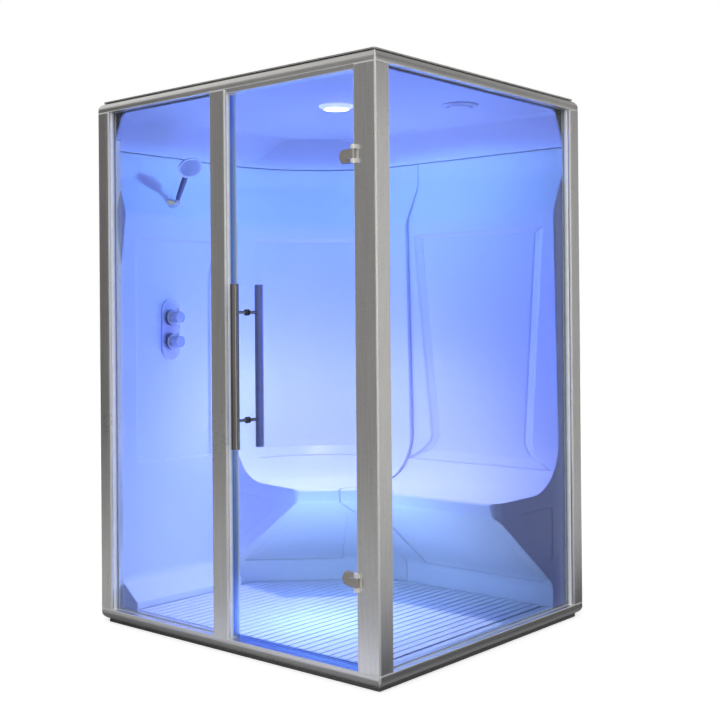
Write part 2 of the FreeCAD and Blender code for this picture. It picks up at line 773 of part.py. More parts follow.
# Hinges: two lugs and a pin on the post, a knuckle and a glass clamp on the door.
lug = cell("hinge_lug_height")
plate_front = glass_face - cell("clamp_pad") - cell("clamp_thickness")
inner_plate = glass_rear + cell("clamp_pad")
play = cell("barrel_play")
screws = []
inner_plates = []
pads = []
pins = []
for place_name, middle in hinge_heights.items():
    low = middle - cell("hinge_height") / 2
    high = middle + cell("hinge_height") / 2

    # post bracket: a plate on the post's face with a barrel lug at each end
    bracket_parts = [box(f"{place_name}_bracket_plate", (hinge_x, hinge_x + cell("barrel_radius") * 1.5),
                         (front - play * 2, front), (low, high))]
    bores = []
    for end, foot in (("low", low), ("high", high - lug)):
        barrel = cylinder(f"{place_name}_{end}_lug", hinge_x, hinge_y, foot,
                          cell("barrel_radius"), lug)
        web = box(f"{place_name}_{end}_web", (hinge_x, hinge_x + cell("barrel_radius") * 1.5),
                  (hinge_y, front), (foot, foot + lug))
        bracket_parts += [barrel, web]
        bores.append(cylinder(f"{place_name}_{end}_bore", hinge_x, hinge_y, foot,
                              cell("pin_radius") + cell("pin_play"), lug))
    clear = cylinder(f"{place_name}_knuckle_room", hinge_x, hinge_y, low + lug,
                     cell("barrel_radius") + play, cell("hinge_height") - lug * 2)
    bracket = cut(f"{place_name}_hinge_bracket", joined(f"{place_name}_bracket_body", bracket_parts),
                  clear, *bores)
    register(bracket, f"{place_name}_hinge_bracket")

    head = cell("pin_head_height")
    rod = cell("pin_radius")
    cap = cell("pin_head_radius")
    length = cell("hinge_height")
    pins.append(turned(f"{place_name}_pin", [
        (0, -head), (cap, -head), (cap, 0), (rod, 0), (rod, length), (cap, length),
        (cap, length + head), (0, length + head)], hinge_x, hinge_y, low, Vector(0, 0, 1)))

    # glass clamp: outer plate with a rounded end, an arm round the post's edge and the knuckle
    clamp_low = middle - cell("clamp_height") / 2
    clamp_high = middle + cell("clamp_height") / 2
    knuckle_low = low + lug + play
    knuckle_high = high - lug - play
    plate = box(f"{place_name}_clamp_plate", (clamp_left, clamp_right),
                (plate_front, plate_front + cell("clamp_thickness")), (clamp_low, clamp_high))
    arm = box(f"{place_name}_clamp_arm", (clamp_right - cell("clamp_arm_width"), clamp_right),
              (hinge_y - cell("barrel_radius"), plate_front + cell("clamp_thickness")),
              (knuckle_low, knuckle_high))
    bridge = box(f"{place_name}_clamp_bridge", (clamp_right - cell("clamp_arm_width"), hinge_x),
                 (hinge_y - cell("barrel_radius"), hinge_y), (knuckle_low, knuckle_high))
    knuckle = cylinder(f"{place_name}_knuckle", hinge_x, hinge_y, knuckle_low,
                       cell("barrel_radius"), knuckle_high - knuckle_low)
    knuckle_bore = cylinder(f"{place_name}_knuckle_bore", hinge_x, hinge_y, knuckle_low,
                            cell("pin_radius") + cell("pin_play"), knuckle_high - knuckle_low)
    clamp_body = joined(f"{place_name}_clamp_body", [plate, arm, bridge, knuckle])
    rounded = doc.addObject("Part::Fillet", f"{place_name}_clamp_rounded")
    rounded.Base = clamp_body
    ends = edges_where(clamp_body.Shape, lambda p: p.x < clamp_left.value + 0.01, axis="y")
    radius = cell("clamp_height").value / 2 - cell("barrel_play").value
    rounded.Edges = [(int(edge[4:]), radius, radius) for edge in ends]
    doc.recompute()
    screw_hole = cylinder(f"{place_name}_clamp_hole", screw_x, plate_front, middle,
                          cell("screw_radius") + cell("pin_play"), cell("clamp_thickness"),
                          Vector(0, 1, 0))
    clamp = cut(f"{place_name}_hinge_clamp", rounded, knuckle_bore, screw_hole)
    register(clamp, f"{place_name}_hinge_clamp")

    inner = box(f"{place_name}_inner_plate_block", (clamp_left, door_right),
                (inner_plate, inner_plate + cell("inner_plate_thickness")), (clamp_low, clamp_high))
    inner_hole = cylinder(f"{place_name}_inner_hole", screw_x, inner_plate, middle,
                          cell("screw_radius") + cell("pin_play"), cell("inner_plate_thickness"),
                          Vector(0, 1, 0))
    inner_plates.append(cut(f"{place_name}_inner_plate", inner, inner_hole))
    for side, start in (("outer", glass_face - cell("clamp_pad")), ("inner", glass_rear)):
        pad = box(f"{place_name}_{side}_pad_sheet", (clamp_left, door_right),
                  (start, start + cell("clamp_pad")), (clamp_low, clamp_high))
        pad_hole = cylinder(f"{place_name}_{side}_pad_hole", screw_x, start, middle,
                            cell("screw_hole_radius"), cell("clamp_pad"), Vector(0, 1, 0))
        pads.append(cut(f"{place_name}_{side}_pad", pad, pad_hole))
    screw_end = inner_plate + cell("inner_plate_thickness")
    grip = screw_end - plate_front
    screws.append(turned(f"{place_name}_screw", [
        (0, -cell("screw_head_height")), (cell("screw_head_radius"), -cell("screw_head_height")),
        (cell("screw_head_radius"), 0), (cell("screw_radius"), 0), (cell("screw_radius"), grip),
        (0, grip)], screw_x, screw_end, middle, Vector(0, -1, 0)))

register(group("hinge_pins", pins), "hinge_pins")
register(group("hinge_inner_plates", inner_plates), "hinge_inner_plates")
register(group("hinge_pads", pads), "hinge_pads")
register(group("hinge_screws", screws), "hinge_screws")

# Handle: a bar each side of the glass on two through studs.
bar_foot = cell("handle_height") - cell("handle_length") / 2
standoff = cell("handle_standoff")
bar_radius = cell("handle_radius")
bar_axes = {"outer": glass_face - standoff, "inner": glass_rear + standoff}
stud_start = bar_axes["outer"] + bar_radius - cell("stud_depth")
stud_end = bar_axes["inner"] - bar_radius + cell("stud_depth")
for side, bar_y in bar_axes.items():
    bar = cylinder(f"{side}_bar_rod", handle_x, bar_y, bar_foot, bar_radius, cell("handle_length"))
    sockets = [cylinder(f"{side}_socket_{index}", handle_x, stud_start, height,
                        cell("stud_radius") + cell("stud_play"), stud_end - stud_start, Vector(0, 1, 0))
               for index, height in enumerate(stud_heights)]
    register(cut(f"handle_{side}_bar", bar, *sockets), f"handle_{side}_bar")
studs = [cylinder(f"stud_{index}", handle_x, stud_start, height, cell("stud_radius"),
                  stud_end - stud_start, Vector(0, 1, 0))
         for index, height in enumerate(stud_heights)]
register(group("handle_studs", studs), "handle_studs")
bushings = []
for index, height in enumerate(stud_heights):
    for side, start, way in (("outer", glass_face, -1), ("inner", glass_rear, 1)):
        bore = cell("stud_radius") + cell("stud_play")
        rim = cell("bushing_radius")
        thick = cell("bushing_thickness")
        bushings.append(turned(f"bushing_{side}_{index}", [
            (bore, 0), (rim, 0), (rim, thick / 2), (bore * 1.25, thick), (bore, thick)],
            handle_x, start, height, Vector(0, way, 0)))
register(group("handle_bushings", bushings), "handle_bushings")


# ---------------------------------------------------------------------------------------
# Moulded interior: skins shaped between the room and the cladding
# ---------------------------------------------------------------------------------------
def rounded_face(corners, to_space):
    """A face from (u, v, radius) corners: straight sides with tangent arcs at the corners."""
    count = len(corners)
    points = [Vector(u, v, 0) for u, v, _ in corners]
    starts, ends, middles = [], [], []
    for index, (_, _, radius) in enumerate(corners):
        here = points[index]
        before = (points[index - 1] - here).normalize()
        after = (points[(index + 1) % count] - here).normalize()
        half = before.getAngle(after) / 2
        reach = radius / math.tan(half)
        centre = here + (before + after).normalize() * (radius / math.sin(half))
        starts.append(here + before * reach)
        ends.append(here + after * reach)
        middles.append(centre + (here - centre).normalize() * radius if radius else here)
    edges = []
    for index, (_, _, radius) in enumerate(corners):
        if radius:
            edges.append(Part.Arc(*[to_space(p.x, p.y) for p in
                                    (starts[index], middles[index], ends[index])]).toShape())
        start, end = ends[index], starts[(index + 1) % count]
        if start.distanceToPoint(end) > 0.001:
            edges.append(Part.makeLine(to_space(start.x, start.y), to_space(end.x, end.y)))
    return Part.Face(Part.Wire(edges))


WALL = left_wall.value
REAR = back_wall.value
ROUND = num("corner_radius")
CENTRE = Vector(WALL + ROUND, REAR - ROUND, 0)
SEAT = num("seat_height")
JOINT = joint_z.value
CEILING = ceiling_z.value
LONG = num("cabin_width")
SKIN = num("skin")
FOOT = sill_top.value
BEND = Vector(bend_x.value, seat_front.value, 0)
SEAM = WALL + num("corner_module_width")
GAP = num("module_gap")
PROUD = num("corner_step")
MODULE_RIGHT = module_right.value - num("barrel_play") / 2


def back_profile(grow, proud):
    """The room's outline beside a seat's wall, as (distance from the wall, height, radius)."""
    return [
        (-grow, JOINT + SKIN, 0),
        (-grow, shoulder_top.value, num("shoulder_rounding")),
        (num("shoulder_bulge") + proud - grow, shoulder_low.value, num("bulge_rounding")),
        (num("lumbar_depth") + proud - grow, SEAT - grow, num("seat_cove") + grow),
        (LONG, SEAT - grow, 0),
        (LONG, JOINT + SKIN, 0),
    ]


def corner_profile(grow, proud):
    """The same outline, ended at the axis of the rounded corner."""
    return [(min(n, ROUND), z, radius) for n, z, radius in back_profile(grow, proud)]


def room_voids(grow, proud):
    """The room above the seats: along the rear wall, round the corner, along the left wall."""
    rear = rounded_face(back_profile(grow, proud), lambda n, z: Vector(CENTRE.x, REAR - n, z))
    side = rounded_face(back_profile(grow, proud), lambda n, z: Vector(WALL + n, CENTRE.y, z))
    turn = rounded_face(corner_profile(grow, proud), lambda n, z: Vector(WALL + n, CENTRE.y, z))
    return [rear.extrude(Vector(LONG, 0, 0)), side.extrude(Vector(0, -LONG, 0)),
            turn.revolve(CENTRE, Vector(0, 0, 1), -90)]


def apron_profile(grow):
    """The open space in front of and under the seat, as (distance behind its edge, height)."""
    lip_foot = SEAT - num("lip_height")
    ledge = num("lip_lean")
    kick = num("kick_setback") + grow
    lip_rounding = 0 if grow else num("lip_rounding")
    reach = num("lip_height")
    return [
        (-LONG, SEAT + reach, 0),
        (reach, SEAT + reach, 0),
        (reach, SEAT, 0),
        (grow, SEAT, num("seat_edge_rounding")),
        (ledge / 2 + grow, lip_foot, lip_rounding),
        (ledge + 1.5 * grow, lip_foot - ledge, lip_rounding),
        (kick, num("apron_foot_height") + grow, num("kick_rounding")),
        (kick, FOOT - SKIN, 0),
        (-LONG, FOOT - SKIN, 0),
    ]


def under_seat(grow):
    """Space under both seat edges: the straight edge and the diagonal one, mitred at the bend."""
    straight = rounded_face(apron_profile(grow), lambda f, z: Vector(-LONG, BEND.y + f, z))
    diagonal = rounded_face(apron_profile(grow), lambda f, z: Vector(
        BEND.x - (f + LONG) * SLOPE, BEND.y + (f - LONG) * SLOPE, z))
    return straight.extrude(Vector(2 * LONG, 0, 0)).common(
        diagonal.extrude(Vector(2 * LONG * SLOPE, 2 * LONG * SLOPE, 0)))


def prism(corners, low, high):
    face = rounded_face(corners, lambda x, y: Vector(x, y, low))
    return face.extrude(Vector(0, 0, high - low))


def shift_line(start, end, distance):
    """A plan line moved to its left by a distance."""
    along = (end - start).normalize()
    aside = Vector(-along.y, along.x, 0) * distance
    return start + aside, end + aside


def diagonal_y(x, grow):
    """Where the diagonal seat edge lies at a given x."""
    return x + BEND.y - BEND.x + grow * math.sqrt(2)


END_BACK = Vector(left_cladding.value, REAR - num("corner_end_back"), 0)
END_FRONT = Vector(WALL + num("corner_seat_end"), REAR - num("corner_end_front"), 0)


def corner_plan(grow, reach):
    """Footprint of the corner seat module."""
    back_point, front_point = shift_line(END_BACK, END_FRONT, grow)
    slope = (front_point.y - back_point.y) / (front_point.x - back_point.x)
    offset = BEND.y - BEND.x + grow * math.sqrt(2)
    meet_x = (back_point.y - slope * back_point.x - offset) / (1 - slope)
    far_left = left_cladding.value - reach
    seam = SEAM - GAP / 2
    return [
        (far_left, back_point.y + slope * (far_left - back_point.x), 0),
        (meet_x, meet_x + offset, num("seat_corner_rounding")),
        (seam - grow, diagonal_y(seam - grow, grow), 0),
        (seam - grow, back_cladding.value + reach, 0),
        (far_left, back_cladding.value + reach, 0),
    ]


def bench_plan(grow, reach):
    """Footprint of the right seat module."""
    near = BEND.y + grow
    seam = SEAM + GAP / 2
    return [
        (seam + grow, diagonal_y(seam + grow, grow), 0),
        (near - BEND.y + BEND.x - grow * math.sqrt(2), near, 0),
        (MODULE_RIGHT - grow, near, num("seat_corner_rounding")),
        (MODULE_RIGHT - grow, back_cladding.value + reach, 0),
        (seam + grow, back_cladding.value + reach, 0),
    ]


SURFACE = (num("shoulder_bulge") + num("lumbar_depth")) / 2
NEAR = num("shoulder_bulge") + 2 * SKIN
DEEP = 0
BEVEL = 1.5
WIDE_BEVEL = 3.2


def bench_recess(grow):
    """Bevelled window of the bench's recessed back panel, cut by the recess's own surface."""
    def window(n):
        spread = BEVEL * (n - SURFACE) + grow
        side = WIDE_BEVEL * (n - SURFACE) + grow
        x0 = SEAM + num("recess_margin") - side
        x1 = MODULE_RIGHT - num("recess_margin") - 2 * num("recess_depth") + side
        z0 = num("recess_foot") - spread
        z1 = recess_top.value + spread
        y = REAR - n
        return Part.makePolygon([Vector(x0, y, z0), Vector(x1, y, z0), Vector(x1, y, z1),
                                 Vector(x0, y, z1), Vector(x0, y, z0)])
    frame = Part.makeLoft([window(DEEP), window(NEAR)], True, True)
    return frame.common(room_voids(num("recess_depth") + grow, 0)[0])


def corner_recess(grow):
    """Recessed panel round the corner, bevelled at its top and foot."""
    def edge(n):
        return BEVEL * (n - SURFACE - PROUD) + grow
    near = NEAR + PROUD
    outline = [
        (DEEP, num("recess_foot") - edge(DEEP), 0),
        (near, num("recess_foot") - edge(near), 0),
        (near, recess_top.value + edge(near), 0),
        (DEEP, recess_top.value + edge(DEEP), 0),
    ]
    face = rounded_face(outline, lambda n, z: Vector(WALL + n, CENTRE.y, z))
    margin = math.degrees((num("recess_margin") - grow) / ROUND)
    face.rotate(CENTRE, Vector(0, 0, 1), -margin)
    ring = face.revolve(CENTRE, Vector(0, 0, 1), -(90 - 2 * margin))
    return ring.common(room_voids(num("recess_depth") + grow, PROUD)[2])


def cheek_prism(grow, origin, along, inward, fit):
    """Rounded triangle pressed into a seat's end, from its edge line towards the wall.

    One step along the end goes fit steps away from the seat's edge.
    """
    near = num("cheek_margin") - grow
    far = num("kick_setback")
    top = SEAT - num("lip_height") - num("lip_lean")
    fall = (top - num("apron_foot_height")) / far
    foot = top - fall * (far - near)
    outline = [(near / fit, top, num("cheek_front_rounding")),
               ((far + grow) / fit, top, num("cheek_rounding")),
               ((far + grow) / fit, foot, num("cheek_rounding"))]
    face = rounded_face(outline, lambda f, z: origin + along * f + Vector(0, 0, z))
    return face.extrude(inward * (num("cheek_depth") + grow))


def apron_panel(grow, along, inward, start, end, far_lean):
    """Shallow panel pressed into an apron, following its slope, seen along a seat's edge."""
    depth = num("apron_panel_depth") + grow
    deeper = rounded_face(apron_profile(depth),
                          lambda f, z: BEND - along * LONG + inward * f + Vector(0, 0, z))
    slab = deeper.extrude(along * 2 * LONG)
    low = num("apron_foot_height") - grow
    high = SEAT - num("lip_height") - num("apron_panel_drop") + grow
    round_top = num("apron_panel_rounding")
    outline = [(start - grow, low, 0), (start - grow, high, round_top), (end + grow, high, round_top),
               (end + grow + far_lean, low, 0)]
    face = rounded_face(outline, lambda u, z: BEND + along * u + Vector(0, 0, z))
    return slab.common(face.extrude(inward * (REAR - BEND.y)))


MARGIN = num("apron_panel_margin")
ALONG_BENCH = Vector(1, 0, 0)
ALONG_CORNER = Vector(-SLOPE, -SLOPE, 0)
BEHIND_BENCH = Vector(0, 1, 0)
BEHIND_CORNER = Vector(-SLOPE, SLOPE, 0)
END_WAY = (END_BACK - END_FRONT).normalize()
END_INWARD = Vector(-END_WAY.y, END_WAY.x, 0) * -1
END_FIT = END_WAY.dot(BEHIND_CORNER)


def bench_solid(grow, reach):
    solid = prism(bench_plan(grow, reach), FOOT + grow, JOINT - grow)
    for void in room_voids(grow, 0):
        solid = solid.cut(void)
    solid = solid.cut(under_seat(grow)).cut(bench_recess(grow))
    length = MODULE_RIGHT - BEND.x
    solid = solid.cut(apron_panel(grow, ALONG_BENCH, BEHIND_BENCH, MARGIN, length - MARGIN, 0))
    end = Vector(MODULE_RIGHT, BEND.y, 0)
    return solid.cut(cheek_prism(grow, end, BEHIND_BENCH, -ALONG_BENCH, 1))


def corner_solid(grow, reach):
    solid = prism(corner_plan(grow, reach), FOOT + grow, JOINT - grow)
    for void in room_voids(grow, PROUD):
        solid = solid.cut(void)
    solid = solid.cut(under_seat(grow)).cut(corner_recess(grow))
    length = (END_FRONT - BEND).Length
    kick = num("kick_setback")
    spread = kick * math.sqrt(1 - END_FIT ** 2) / END_FIT
    solid = solid.cut(apron_panel(grow, ALONG_CORNER, BEHIND_CORNER, MARGIN, length - MARGIN, spread))
    return solid.cut(cheek_prism(grow, END_FRONT, END_WAY, END_INWARD, END_FIT))


def left_profile(grow):
    """The room's outline beside the left wall panel, down to its skirt on the floor tray."""
    return [
        (-grow, JOINT + SKIN, 0),
        (-grow, shoulder_top.value, num("left_shoulder_rounding")),
        (num("left_bulge") - grow, shoulder_low.value + num("left_bulge_lift"),
         num("left_bulge_rounding")),
        (num("left_relief") - grow, left_relief_z.value, num("left_relief_rounding")),
        (num("left_relief") - grow, num("skirt_height") - grow, num("skirt_cove")),
        (num("skirt_reach") - grow, num("skirt_edge_height") - grow, num("skirt_edge_rounding")),
        (num("skirt_reach") - grow, FOOT - SKIN, 0),
        (LONG / 2, FOOT - SKIN, 0),
        (LONG / 2, JOINT + SKIN, 0),
    ]


def left_void(grow):
    face = rounded_face(left_profile(grow), lambda n, z: Vector(WALL + n, -LONG, z))
    return face.extrude(Vector(0, 2 * LONG, 0))


def left_recess(grow):
    """Bevelled window of the left wall's recessed panel."""
    relief = num("left_relief")
    start = frame_back.value + num("left_recess_front")
    end = frame_back.value + num("left_recess_back")

    def window(n):
        spread = BEVEL * (n - relief) / 2 + grow
        x = WALL + n
        z0 = num("recess_foot") - spread
        z1 = recess_top.value + spread - 2 * num("recess_depth")
        return Part.makePolygon([Vector(x, start - spread, z0), Vector(x, end + spread, z0),
                                 Vector(x, end + spread, z1), Vector(x, start - spread, z1),
                                 Vector(x, start - spread, z0)])
    frame = Part.makeLoft([window(-2 * relief), window(NEAR)], True, True)
    return frame.common(left_void(relief + grow))


def left_solid(grow, reach):
    slope = (END_FRONT.y - END_BACK.y) / (END_FRONT.x - END_BACK.x)
    far_left = left_cladding.value - reach
    near = WALL + num("skirt_reach") + SKIN
    start = frame_back.value + grow

    def end_y(x):
        return END_BACK.y + slope * (x - END_BACK.x) - grow - num("barrel_play") / 2
    outline = [(far_left, start, 0), (near, start, 0), (near, end_y(near), 0),
               (far_left, end_y(far_left), 0)]
    solid = prism(outline, FOOT + grow, JOINT - grow)
    return solid.cut(left_void(grow)).cut(left_recess(grow))


def clearance_box(x0, x1, y0, y1, low, high):
    return Part.makeBox(x1 - x0, y1 - y0, high - low, Vector(x0, y0, low))


POST_GAP = num("barrel_play") / 2
rear_post_room = clearance_box(left.value - 1, rear_post_right.value + POST_GAP,
                               rear_post_front.value - POST_GAP, back.value + 1,
                               0, num("cabin_height"))

bench = bench_solid(0, 0).cut(bench_solid(SKIN, 2 * SKIN)).removeSplitter()
shaped("right_seat_module", bench)

corner_module = corner_solid(0, 0).cut(corner_solid(SKIN, 2 * SKIN)).cut(rear_post_room)

# Openings through the skins for the mixer, the shower and the steam nozzle
left_panel = left_solid(0, 0).cut(left_solid(SKIN, 2 * SKIN))
for knob_z in knob_heights.values():
    left_panel = left_panel.cut(Part.makeCylinder(
        num("bonnet_radius") + num("clamp_pad"), LONG / 5,
        Vector(left_cladding.value, mixer_y.value, knob_z.value), Vector(1, 0, 0)))
left_panel = left_panel.cut(Part.makeCylinder(
    num("shower_pipe_radius") + num("clamp_pad"), num("shower_reach") + num("left_bulge"),
    Vector(left_cladding.value, shower_y.value, shower_z.value), Vector(1, 0, 0)))
shaped("left_wall_panel", left_panel)

steam_point = Vector(steam_x.value, steam_y.value, steam_z.value)
pipe_hole = Part.makeCylinder(num("steam_pipe_radius") + num("stud_play"), 4 * SKIN,
                              steam_point - steam_way * 2 * SKIN, steam_way)
shaped("corner_seat_module", corner_module.cut(pipe_hole).removeSplitter())


# ---------------------------------------------------------------------------------------
# Ceiling
# ---------------------------------------------------------------------------------------
def ceiling_band(grow):
    """The room's outline under the ceiling: a leaning side band and a cove to the flat."""
    top = CEILING + grow
    lean = num("ceiling_lean")
    drop = 2 * SKIN
    back_step = lean * drop / (CEILING - JOINT)
    return [
        (-grow - back_step, JOINT - drop, 0),
        (lean - grow, top, num("ceiling_cove")),
        (2 * LONG, top, 0),
        (2 * LONG, JOINT - drop, 0),
    ]


def ceiling_plan(grow):
    """The ceiling's outline: wide of the walls, but rounded like them in the corner."""
    side = Vector(CENTRE.x - ROUND - grow, CENTRE.y, 0)
    rear = Vector(CENTRE.x, CENTRE.y + ROUND + grow, 0)
    middle = CENTRE + Vector(-SLOPE, SLOPE, 0) * (ROUND + grow)
    wide = 6 * SKIN
    outline = [rear, rear + Vector(wide, wide, 0), Vector(LONG, rear.y + wide, 0),
               Vector(LONG, -LONG, 0), Vector(side.x - wide, -LONG, 0),
               side - Vector(wide, wide, 0), side]
    edges = [Part.Arc(side, middle, rear).toShape()]
    edges += [Part.makeLine(start, end) for start, end in zip(outline, outline[1:])]
    face = Part.Face(Part.Wire(edges))
    face.translate(Vector(0, 0, JOINT - SKIN))
    return face.extrude(Vector(0, 0, CEILING + grow + SKIN - JOINT))


def ceiling_void(grow):
    rear = rounded_face(ceiling_band(grow), lambda n, z: Vector(-LONG, REAR - n, z))
    side = rounded_face(ceiling_band(grow), lambda n, z: Vector(WALL + n, -LONG, z))
    void = rear.extrude(Vector(2 * LONG, 0, 0)).common(side.extrude(Vector(0, 2 * LONG, 0)))
    return void.common(ceiling_plan(grow))


def ceiling_solid(grow, reach, rise):
    near_glass = num("ceiling_glass_gap")
    x1 = side_glass_rear.value - near_glass
    y0 = glass_rear.value + near_glass
    block = clearance_box(left_cladding.value - reach, x1, y0, back_cladding.value + reach,
                          JOINT + GAP + grow, head_foot.value + rise)
    return block.cut(ceiling_void(grow))


ceiling_skin = num("ceiling_skin")
ceiling = ceiling_solid(0, 0, 0).cut(ceiling_solid(ceiling_skin, 2 * SKIN, SKIN))
post_rooms = [
    (left.value, fixed_left.value, frame_back.value),
    (fixed_right.value, bay_left.value, frame_back.value),
    (bay_right.value, right.value, side_front.value),
]
for x0, x1, y1 in post_rooms:
    ceiling = ceiling.cut(clearance_box(x0 - POST_GAP, x1 + POST_GAP, front.value, y1 + POST_GAP,
                                        0, num("cabin_height")))
ceiling = ceiling.cut(clearance_box(bay_left.value, bay_right.value, front.value,
                                    header_front.value + num("header_depth") + num("glass_setback")
                                    + POST_GAP, 0, num("cabin_height")))
ceiling = ceiling.cut(clearance_box(module_right.value - POST_GAP, right.value,
                                    side_back.value - POST_GAP, back.value, 0, num("cabin_height")))
lamp_x = cell("lamp_x")
lamp_y = back - cell("lamp_back")
vent_x = cell("vent_x")
vent_y = back - cell("vent_back")
for x, y, radius in ((lamp_x, lamp_y, "lamp_hole_radius"), (vent_x, vent_y, "vent_hole_radius")):
    ceiling = ceiling.cut(Part.makeCylinder(num(radius), LONG,
                                            Vector(x.value, y.value, JOINT)))
shaped("ceiling_module", ceiling.cut(rear_post_room).removeSplitter())

# Lamp: a can above the ceiling, a bezel under it and a glowing lens.
lamp_drop = cell("lamp_drop")
bezel_radius = cell("lamp_bezel_radius")
lens_radius = cell("lamp_lens_radius")
lens_play = cell("stud_play")
lens_step = lamp_drop / 2
register(turned("lamp_bezel", [
    (lens_radius + lens_play, -lamp_drop), (lens_radius + cell("seal_wall"), -lamp_drop),
    (bezel_radius, -lens_step / 2), (bezel_radius, 0), (lens_radius + lens_play, 0)],
    lamp_x, lamp_y, ceiling_z, Vector(0, 0, 1)), "lamp_bezel")
register(turned("lamp_lens", [
    (0, -lamp_drop - cell("seal_wall")), (lens_radius * 0.6, -lamp_drop - cell("seal_wall") / 2),
    (lens_radius, -lamp_drop), (lens_radius, 0), (0, 0)],
    lamp_x, lamp_y, ceiling_z, Vector(0, 0, 1)), "lamp_lens")
can_wall = cell("seal_wall")
can_radius = cell("lamp_hole_radius") - cell("clamp_pad")
can_height = cell("lamp_can_height")
register(turned("lamp_housing", [
    (can_radius - can_wall, 0), (can_radius, 0), (can_radius, can_height), (0, can_height),
    (0, can_height - can_wall), (can_radius - can_wall, can_height - can_wall)],
    lamp_x, lamp_y, ceiling_z, Vector(0, 0, 1)), "lamp_housing")

# Vent: a flared ring with a spider, and a disc valve that screws up and down in it.
vent_drop = cell("vent_drop")
ring_radius = cell("vent_ring_radius")
throat = cell("vent_hole_radius") - cell("clamp_pad")
disc_radius = cell("vent_disc_radius")
rod_radius = cell("spindle_radius")
vent_rim = cell("ceiling_skin") + cell("vent_travel")
vent_ring = turned("vent_ring_body", [
    (throat - can_wall, -vent_drop), (throat + can_wall, -vent_drop), (ring_radius, -can_wall),
    (ring_radius, 0), (throat, 0), (throat, vent_rim), (throat - can_wall, vent_rim)],
    vent_x, vent_y, ceiling_z, Vector(0, 0, 1))
spider_z = (ceiling_z + vent_rim - cell("clamp_thickness"), ceiling_z + vent_rim)
spider = box("vent_spider", (vent_x - throat + can_wall / 2, vent_x + throat - can_wall / 2),
             (vent_y - rod_radius * 2, vent_y + rod_radius * 2), spider_z)
vent_bore = cylinder("vent_rod_bore", vent_x, vent_y, ceiling_z, rod_radius + cell("spindle_play"),
                     vent_rim)
register(cut("vent_ring", joined("vent_ring_joined", [vent_ring, spider]), vent_bore), "vent_ring")
disc_top = -vent_drop + cell("clamp_thickness") / 2
register(turned("vent_disc", [
    (0, -vent_drop - can_wall), (disc_radius - can_wall * 2, -vent_drop - can_wall),
    (disc_radius, -vent_drop), (disc_radius, disc_top), (rod_radius, disc_top),
    (rod_radius, vent_rim + can_wall), (0, vent_rim + can_wall)],
    vent_x, vent_y, ceiling_z, Vector(0, 0, 1)), "vent_disc")

# ---------------------------------------------------------------------------------------
# Floor
# ---------------------------------------------------------------------------------------
tray_left = left + cell("frame_depth")
tray_right = right - cell("frame_depth")
tray_back = back - cell("frame_depth")
basin_left = left_wall + cell("skirt_reach")
basin_right = tray_right - cell("basin_right")
basin_front = frame_back + cell("basin_front")
basin_back = seat_front + cell("kick_setback")
DIAGONAL = math.sqrt(2)
diagonal_shift = seat_front - bend_x + cell("kick_setback") * DIAGONAL


def basin_outline(play):
    """The free floor: it follows the left skirt, the diagonal kick panel and the bench."""
    shift = diagonal_shift - play * DIAGONAL
    x0, x1 = basin_left + play, basin_right - play
    y0, y1 = basin_front + play, basin_back - play
    return [(x0, y0), (x1, y0), (x1, y1), (y1 - shift, y1), (x0, x0 + shift)]


tray = extrusion("shower_tray", "z", cell("tray_floor_height") - cell("tray_thickness"), sill_top,
                 [rectangle(tray_left, tray_right, frame_back, tray_back)])
pocket(tray, "tray_basin", "XY_Plane", sill_top, sill_top - cell("tray_floor_height"),
       [basin_outline(0)])
drain_x = cell("drain_x")
drain_y = back - cell("drain_back")
pocket(tray, "tray_drain_hole", "XY_Plane", cell("tray_floor_height"), cell("tray_thickness"),
       circles=[(drain_x, drain_y, cell("drain_outlet_radius") + cell("floor_play") / 2)])
register(tray, "shower_tray")

slat_top = sill_top + cell("slat_rise")
slat_foot = slat_top - cell("slat_thickness")
slack = cell("floor_play")
board_left = basin_left + slack
board_right = basin_right - slack
board_front = basin_front + slack
board_back = basin_back - slack
pitch = cell("slat_pitch")
slat_count = int((board_right.value - board_left.value - num("slat_width")) // pitch.value) + 1
first_slat = board_left + (board_right - board_left - pitch * (slat_count - 1) - cell("slat_width")) / 2
duckboard = extrusion("duckboard", "z", slat_foot, slat_top, [
    rectangle(first_slat, first_slat + cell("slat_width"), board_front, board_back)])
run = duckboard.newObject("PartDesign::LinearPattern", "duckboard_slats")
run.Originals = [duckboard.Tip]
run.Direction = (origin_plane(duckboard, "X_Axis"), [""])
run.Occurrences = slat_count
bind(run, "Length", pitch * (slat_count - 1))
duckboard.Tip = run
doc.recompute()
bearer = cell("bearer_width")
bearer_gap = (board_back - board_front - bearer) / 3
bearers = duckboard.newObject("PartDesign::Pad", "duckboard_bearers")
bearers.Profile = draw(duckboard, "duckboard_bearer_outline", "XY_Plane",
                       slat_foot - cell("bearer_height"), [
    rectangle(first_slat, first_slat + pitch * (slat_count - 1) + cell("slat_width"),
              board_front + bearer_gap * index, board_front + bearer_gap * index + bearer)
    for index in range(4)])
bind(bearers, "Length", cell("bearer_height"))
doc.recompute()
trim = diagonal_shift - slack * DIAGONAL
pocket(duckboard, "duckboard_diagonal", "XY_Plane", slat_top, cell("tray_floor_height"), [
    [(basin_left - slack, basin_left - slack + trim), (board_back + slack - trim, board_back + slack),
     (basin_left - slack, board_back + slack)]])
register(duckboard, "duckboard")

